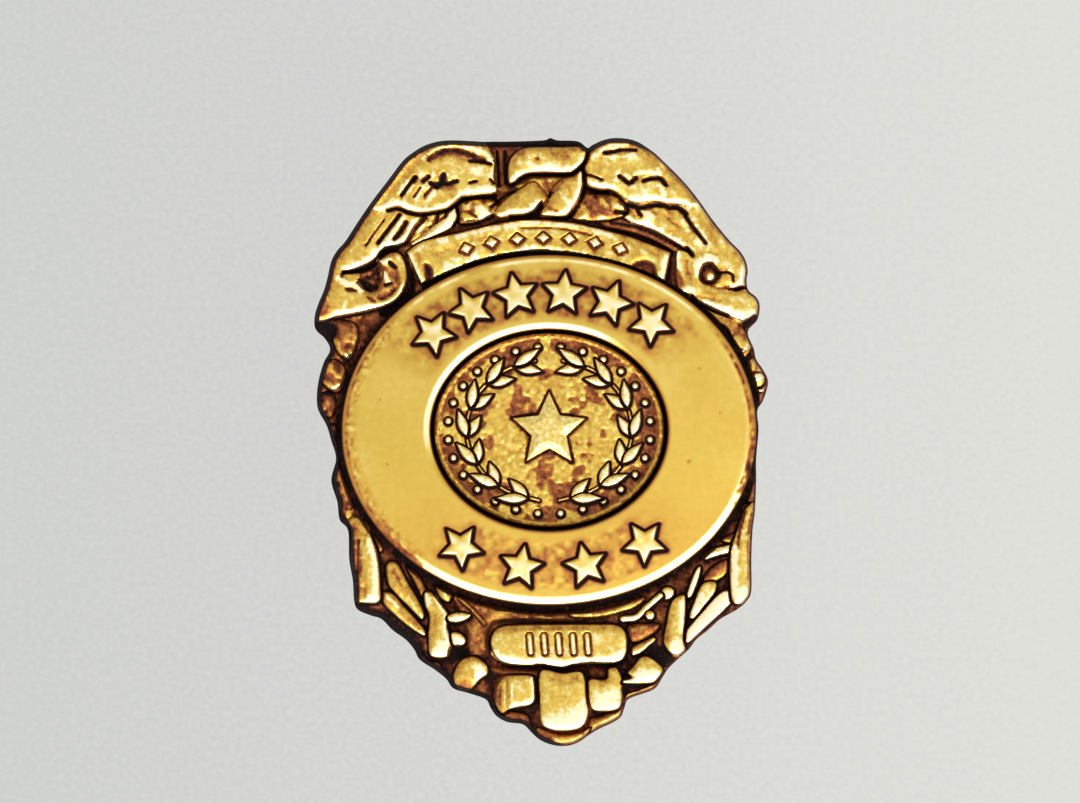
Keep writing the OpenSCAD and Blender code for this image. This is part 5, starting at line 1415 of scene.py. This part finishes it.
def add_star(s, at, angle):
    """A raised star on the band, flat on top, with a black line round it and painted shade along its top's
    rim on the side away from the lamps.
    """
    path = turned(star(STAR_R, STAR_INNER), at, angle)
    view = s.window(path, 0.5)
    away = s.depth_inside(view, path, 0.5)
    s.z[view] += STAR_RISE * rounded(away / 0.12)
    facing = s.facing(away)
    groove = 1 - eased(-away / (0.17 + 0.06 * facing))
    s.z[view] -= np.where(away > 0, 0, 0.06 * groove)
    tone = s.tone[view]
    tone = tone + (0.6 - tone) * 0.6 * (1 - eased(-away / 0.4))
    tone = tone + (BLACK - tone) * np.minimum(2 * groove, 1)
    rim = rim_weight(away, 0.1, 0.14)
    clouds = 0.08 * waves(s.x[view], s.y[view], 0.35, 14)
    wear_and_light = 0.08 + clouds + rim * (0.24 * np.maximum(-facing, 0) - 0.06)
    top = wear_and_light + (BLACK - wear_and_light) * (1 - eased(away / 0.06))
    s.tone[view] = np.where(away > 0, top, tone)


def band():
    """The domed oval band: a closed ring whose angles are closest where the stars are."""
    s = band_relief()
    turn = np.radians(np.concatenate([np.arange(*steps) for steps in BAND_STEPS]))
    shell = Shell()
    rings = []
    for part in BAND_RINGS:
        ring = oval_path((OPENING + part * (OVAL - OPENING)) / 2, turn)
        z, tone = s.sample(ring)
        rings.append(shell.add(ring, FACE_Z + z, tone))
    walls = []
    for path, tone in ((shell.plan(rings[0]), 0.3), (shell.plan(rings[-1]), 0.9)):
        walls.append([shell.add(path, FACE_Z + z, t) for z, t in zip(BAND_WALL, (tone, BLACK))])
    rings += walls[1] + walls[0][::-1]
    for inward, outward in zip(rings, rings[1:] + rings[:1]):
        shell.strip(inward, outward)
    return shell.make("badge_band", BAND_GOLD)


# The seal

SEAL_SIZE = (SEAL_HIGH - SEAL_LOW)[:2]
SEAL_BASE = SEAL_LOW[2]
SEAL_T = 0.6
SEAL_RELIEF = 0.3
SEAL_STEPS = 420              # points round its edge
SEAL_NODES = 80000            # most points of its relief
SEAL_WALL = [(0.0, 0.12), (0.03, 0.04), (0.1, 0.0)]   # inset and height of the rings down its side
WREATH = (6.9, 5.9)           # oval that the wreath's branches follow
WREATH_ANGLES = (285, 425)    # the right branch's first and last leaf
WREATH_LEAVES = 7
STEM_BELOW = 8                # the stem starts this many degrees below the first leaf
PELLETS = 28
PELLET_R = 0.16
PELLET_INSET = 0.56
SEAL_FOOT = SEAL_T - 0.05     # the foot of what is raised on the seal
CENTRE_STAR_R = 1.65


def seal_relief():
    """The seal's face: a star in a laurel wreath and a ring of pellets, on a stippled ground."""
    half = SEAL_SIZE / 2
    low = (OVAL_AT - half[0] - 0.1, -half[1] - 0.1)
    s = Sheet(low, (OVAL_AT + half[0] + 0.1, half[1] + 0.1), FINE_RASTER)
    rim = oval_distance(s.x, s.y, SEAL_SIZE)
    stipple = waves(s.x, s.y, 0.15, 21)
    cloud = waves(s.x, s.y, 0.6, 22) + 0.5 * waves(s.x, s.y, 0.26, 24)
    # Brown clouds, more of them towards the rim: partly patina, partly painted shade beside the band's wall
    brown = eased((cloud + 1.2 * (1 - eased((rim - 0.15) / 1.3)) - 0.3) / 0.35)
    s.z[:] = SEAL_T + 0.03 * stipple - 0.04 * brown
    s.tone[:] = 0.25 - 0.13 * stipple + 0.36 * brown
    for i in range(PELLETS):
        at = oval_point(half - PELLET_INSET, 2 * math.pi * (i + 0.5) / PELLETS)
        pellet = round_shape(at, PELLET_R, 10)
        s.form(pellet, SEAL_T + 0.16, SEAL_FOOT, bevel=0.1, line=0.11, tone=BURNISHED_AND_HIGHLIGHT)
    for side in (1, -1):
        draw_branch(s, side)
    facet_star(s)
    ridge = np.clip(1 - np.abs(rim - 0.13) / 0.12, 0, 1)
    s.z += 0.06 * np.sqrt(ridge)
    s.stain(0.35, (ridge > 0) * eased(ridge * 2))
    s.stain(BLACK, 1 - eased(rim / 0.05))
    np.clip(s.tone, 0, 1, out=s.tone)
    return s


def on_wreath(side, leaves, spread=0.0, below=0):
    """A point on the right (1) or left (-1) branch: leaves up from the first one, less some degrees."""
    step = (WREATH_ANGLES[1] - WREATH_ANGLES[0]) / (WREATH_LEAVES - 1)
    half = (side * (WREATH[0] / 2 + spread), WREATH[1] / 2 + spread)
    return oval_point(half, math.radians(WREATH_ANGLES[0] - below + leaves * step))


def draw_branch(s, side):
    """One branch of the wreath, from the foot up to the open top."""
    stem = [on_wreath(side, i, below=STEM_BELOW) for i in range(WREATH_LEAVES + 1)]
    s.strand(stem, 0.07, SEAL_T + 0.14, SEAL_FOOT, line=0.08, tone=0.15, line_tone=0.9)
    for i in range(WREATH_LEAVES):
        for spread in (-0.5, 0.5):
            blade = leaf(on_wreath(side, i), on_wreath(side, i + 0.85, spread), 0.23)
            s.form(blade, SEAL_T + 0.2, SEAL_FOOT, bevel=0.13, line=0.12, tone=HIGHLIGHT_AND_WEAR_TONE, curved=False)


def facet_star(s):
    """The seal's star, with ten slopes that meet in ridges."""
    path = star(CENTRE_STAR_R, STAR_INNER) + np.array([OVAL_AT, 0])
    view = s.window(path, 0.3)
    away = s.depth_inside(view, path, 0.6)
    peak = 0.2 * np.clip(1 - np.hypot(s.x[view] - OVAL_AT, s.y[view]) / 1.6, 0, 1)
    height = SEAL_T + 0.1 + peak + 0.25 * np.clip(away / 0.55, 0, 1) - 0.08
    z, tone = s.z[view], s.tone[view]
    groove = 1 - eased(-away / 0.14)
    s.z[view] = np.where(away > 0, np.minimum(height, SEAL_T + SEAL_RELIEF), z - 0.06 * groove)
    body = 0.12 + 0.88 * (1 - eased(away / 0.06))
    s.tone[view] = np.where(away > 0, body, tone + (0.95 - tone) * groove ** 0.7)


def seal():
    """The inset seal: an oval disc with its own relief."""
    s = seal_relief()
    half, turn = SEAL_SIZE / 2, all_round(SEAL_STEPS)
    shell = Shell()
    allowed = oval_distance(s.x, s.y, SEAL_SIZE) > 0.03
    rim = shell.relief(s, oval_path(half, turn), SEAL_BASE, allowed, SEAL_NODES)
    rim = shell.wall(rim, [(oval_path(half - by, turn), SEAL_BASE + z, BROWN) for by, z in SEAL_WALL])
    shell.faces.append(rim[::-1].tolist())
    return shell.make("seal_disc", SEAL_GOLD, [len(shell.faces) - 1])


# The clutch cap

def arc(centre, radius, start, stop, count=8):
    """Points on part of a circle in a profile; angles in degrees."""
    turn = np.radians(np.linspace(start, stop, count))
    return [(centre[0] + radius * math.cos(a), centre[1] + radius * math.sin(a)) for a in turn]


def turning_tree(material):
    """Geometry Nodes that turn a profile round a circle, close its ends at the axis and finish it."""
    tree = bpy.data.node_groups.new("turned_profile", "GeometryNodeTree")
    inputs = {}
    for name, way, kind in (("Profile", "INPUT", "NodeSocketGeometry"),
                            ("Segments", "INPUT", "NodeSocketInt"),
                            ("Circle radius", "INPUT", "NodeSocketFloat"),
                            ("Turned", "OUTPUT", "NodeSocketGeometry")):
        inputs[name] = tree.interface.new_socket(name, in_out=way, socket_type=kind).identifier
    given = add(tree, "NodeGroupInput").outputs
    circle = add(tree, "GeometryNodeCurvePrimitiveCircle", None,
                 {"Resolution": given["Segments"], "Radius": given["Circle radius"]})
    line = add(tree, "GeometryNodeMeshToCurve", None, {"Mesh": given["Profile"]})
    skin = add(tree, "GeometryNodeCurveToMesh", None,
               {"Curve": circle.outputs["Curve"], "Profile Curve": line.outputs["Curve"]})
    made = add(tree, "GeometryNodeFlipFaces", None, {"Mesh": skin.outputs["Mesh"]}).outputs[0]
    for kind, settings in (("GeometryNodeMergeByDistance", {"Distance": 0.001 * MM}),
                           ("GeometryNodeSetShadeSmooth", None), ("GeometryNodeRealizeInstances", None),
                           ("GeometryNodeSetMaterial", {"Material": material})):
        made = add(tree, kind, settings, {"Geometry": made}).outputs["Geometry"]
    add(tree, "NodeGroupOutput", None, {"Turned": made})
    return tree, inputs


def turned_piece(name, profile, circle_r, segments, material):
    """A piece turned about the Z axis from a profile of radii and heights, as a plain mesh."""
    tree, inputs = turning_tree(material)
    points = [((radius - circle_r) * MM, -z * MM, 0) for radius, z in profile]
    mesh = bpy.data.meshes.new("profile")
    mesh.from_pydata(points, [(i, i + 1) for i in range(len(points) - 1)], [])
    line = put("profile", mesh)
    turning = line.modifiers.new("turning", "NODES")
    turning.node_group = tree
    turning[inputs["Segments"]] = segments
    turning[inputs["Circle radius"]] = circle_r * MM
    shape = line.evaluated_get(bpy.context.evaluated_depsgraph_get())
    piece = put(name, bpy.data.meshes.new_from_object(shape))
    bpy.data.objects.remove(line)
    return piece


DRUM_R = 4.3
DRUM_ROUND = 0.8              # rounding of the drum's end
FLAT_R = 2.9                  # the flat that the pin lies on
SEAM = (1.9, 2.4, 0.06)       # groove round the drum: height of its lower and upper edge, and its depth
ROLL = 0.45                   # radius of the flange's rolled edge
NECK_ROUND = 0.35             # rounding between drum and flange
BORE_R = 0.6
BORE_FOOT = 0.6
CAP_SEGMENTS = 128


def clutch():
    """The cap: a drum drawn from sheet, with a rolled flange and a hole for the post."""
    foot, top = CLUTCH_LOW[2], CLUTCH_HIGH[2]
    flange_r = CLUTCH_HIGH[0]
    shoulder_r = DRUM_R - DRUM_ROUND
    seam_r = DRUM_R - SEAM[2]
    profile = [(0, foot), (FLAT_R, foot), (shoulder_r, foot)]
    profile += arc((shoulder_r, foot + DRUM_ROUND), DRUM_ROUND, -80, 0)
    profile += [(DRUM_R, foot + SEAM[0]), (seam_r, foot + SEAM[0] + 0.1), (seam_r, foot + SEAM[1] - 0.1),
                (DRUM_R, foot + SEAM[1])]
    profile += arc((DRUM_R + NECK_ROUND, top - 2 * ROLL - NECK_ROUND), NECK_ROUND, 180, 90)[:-1]
    profile += arc((flange_r - ROLL, top - ROLL), ROLL, -90, 90, 12)
    # The flange's face: a shallow dish, a ring round the hole, and the bore
    profile += [(flange_r - ROLL - 0.25, top - 0.03), (flange_r - ROLL - 0.55, top - 0.14),
                (3.2, top - 0.16), (2.9, top - 0.04), (2.6, top), (1.5, top), (1.2, top - 0.05),
                (0.95, top - 0.12), (BORE_R + 0.12, top - 0.16), (BORE_R, top - 0.3),
                (BORE_R, BORE_FOOT + 0.03), (BORE_R - 0.03, BORE_FOOT), (0, BORE_FOOT)]
    return turned_piece("clutch_cap", profile, DRUM_R, CAP_SEGMENTS, CAP_BRASS)


# Floor, light and camera

FLOOR_HALF = 1.2              # half the floor's side, in metres
CARD_GRAIN = 0.25 * MM        # width of the card's grain, coarser than the real one so that it shows
SHADE_REACH = 22 * MM         # painted shade on the floor changes slowly from this far left to this far right
SOFTBOX_AWAY = 0.6            # distance and side of the soft boxes, in metres
SOFTBOX_SIZE = 0.36
BRIGHT_SKY = (0.33, -0.2, 0.92)   # the way to the brightest part of the tent over the table
LENS = 280                    # a long lens, in millimetres, so that the badge's sides don't show
SENSOR = 36
FIELD = 45 * MM               # width of what the picture shows, at the middle of the view
FIELD_AT = (-0.23 * MM, 1.19 * MM, 8.5 * MM)


def floor():
    """A plain pale surface that glows a little, as painted light, so that the pin's shadow stays faint;
    painted shade makes it slowly darker towards the left.
    """
    material, tree, place = new_material("glowing_pale_card")
    grain = add(tree, "ShaderNodeTexNoise", {"Scale": 1 / CARD_GRAIN, "Detail": 4.0, "Roughness": 0.75},
                {"Vector": place}).outputs["Fac"]
    across = add(tree, "ShaderNodeSeparateXYZ", None, {0: place}).outputs["X"]
    painted_floor_shade = add(tree, "ShaderNodeMapRange",
               {"From Min": -SHADE_REACH, "From Max": SHADE_REACH, "To Min": -0.42, "To Max": 0.12},
               {"Value": across}).outputs[0]
    shade = add(tree, "ShaderNodeMath", {"operation": "ADD", "use_clamp": True}, {0: grain, 1: painted_floor_shade})
    colour = add(tree, "ShaderNodeValToRGB", None, {"Fac": shade.outputs[0]})
    set_ramp(colour, [(0.0, "#CED0CE"), (0.65, "#E2E2DD")])
    shader = add(tree, "ShaderNodeBsdfPrincipled",
                 {"Roughness": 0.9, "Base Color": linear("#303030"), "Emission Strength": 0.92,
                  "Specular IOR Level": 0.1},
                 {"Emission Color": colour.outputs["Color"]})
    add(tree, "ShaderNodeOutputMaterial", None, {"Surface": shader.outputs[0]})
    mesh = bpy.data.meshes.new("floor")
    corners = [(x * FLOOR_HALF, y * FLOOR_HALF, 0) for x, y in ((-1, -1), (1, -1), (1, 1), (-1, 1))]
    mesh.from_pydata(corners, [], [(0, 1, 2, 3)])
    mesh.materials.append(material)
    plane = put("floor", mesh)


def softbox(name, azimuth, from_zenith, radiance):
    """A square area light aimed at the badge; azimuth 0 is +X and 90 is +Y."""
    light = bpy.data.lights.new(name, "AREA")
    light.shape = "SQUARE"
    light.size = SOFTBOX_SIZE
    light.energy = radiance * math.pi * SOFTBOX_SIZE ** 2
    light.color = linear("#FFFAF0")[:3]
    lamp = put(name, light)
    a, z = math.radians(azimuth), math.radians(from_zenith)
    lamp.location = (SOFTBOX_AWAY * math.sin(z) * math.cos(a), SOFTBOX_AWAY * math.sin(z) * math.sin(a),
                     SOFTBOX_AWAY * math.cos(z))
    lamp.rotation_euler = (0, z, a)


def lights():
    """Two soft boxes at the badge's foot, and a tent over the table."""
    softbox("key", -52, 52, 4.8)
    softbox("fill", -98, 52, 4.4)
    world = bpy.data.worlds.new("studio")
    bpy.context.scene.world = world
    world.use_nodes = True
    tree = world.node_tree
    way = add(tree, "ShaderNodeTexCoord").outputs["Generated"]
    facing = add(tree, "ShaderNodeVectorMath", {"operation": "DOT_PRODUCT", 1: BRIGHT_SKY},
                 {0: way}).outputs["Value"]
    strength = add(tree, "ShaderNodeMapRange",
                   {"From Min": 0.0, "From Max": 1.0, "To Min": 0.78, "To Max": 1.08}, {"Value": facing})
    background = tree.nodes["Background"]
    background.inputs["Color"].default_value = linear("#FFFDF8")
    tree.links.new(strength.outputs[0], background.inputs["Strength"])


def camera():
    """Straight down on the badge, from far enough that its sides don't show."""
    view = bpy.data.cameras.new("camera")
    view.lens = LENS
    view.sensor_width = SENSOR
    view.clip_start = 0.01
    eye = put("camera", view)
    eye.location = (FIELD_AT[0], FIELD_AT[1], FIELD_AT[2] + FIELD * view.lens / view.sensor_width)
    bpy.context.scene.camera = eye
    bpy.context.scene.view_settings.view_transform = "Standard"


for piece, node, slot in ((casting(), "badge", "antique_gold"), (band(), "badge", "antique_gold"),
                          (seal(), "seal", "seal_gold"), (clutch(), "clutch", "cap_brass")):
    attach(piece, "root")
    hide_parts(node)

floor()
lights()
camera()
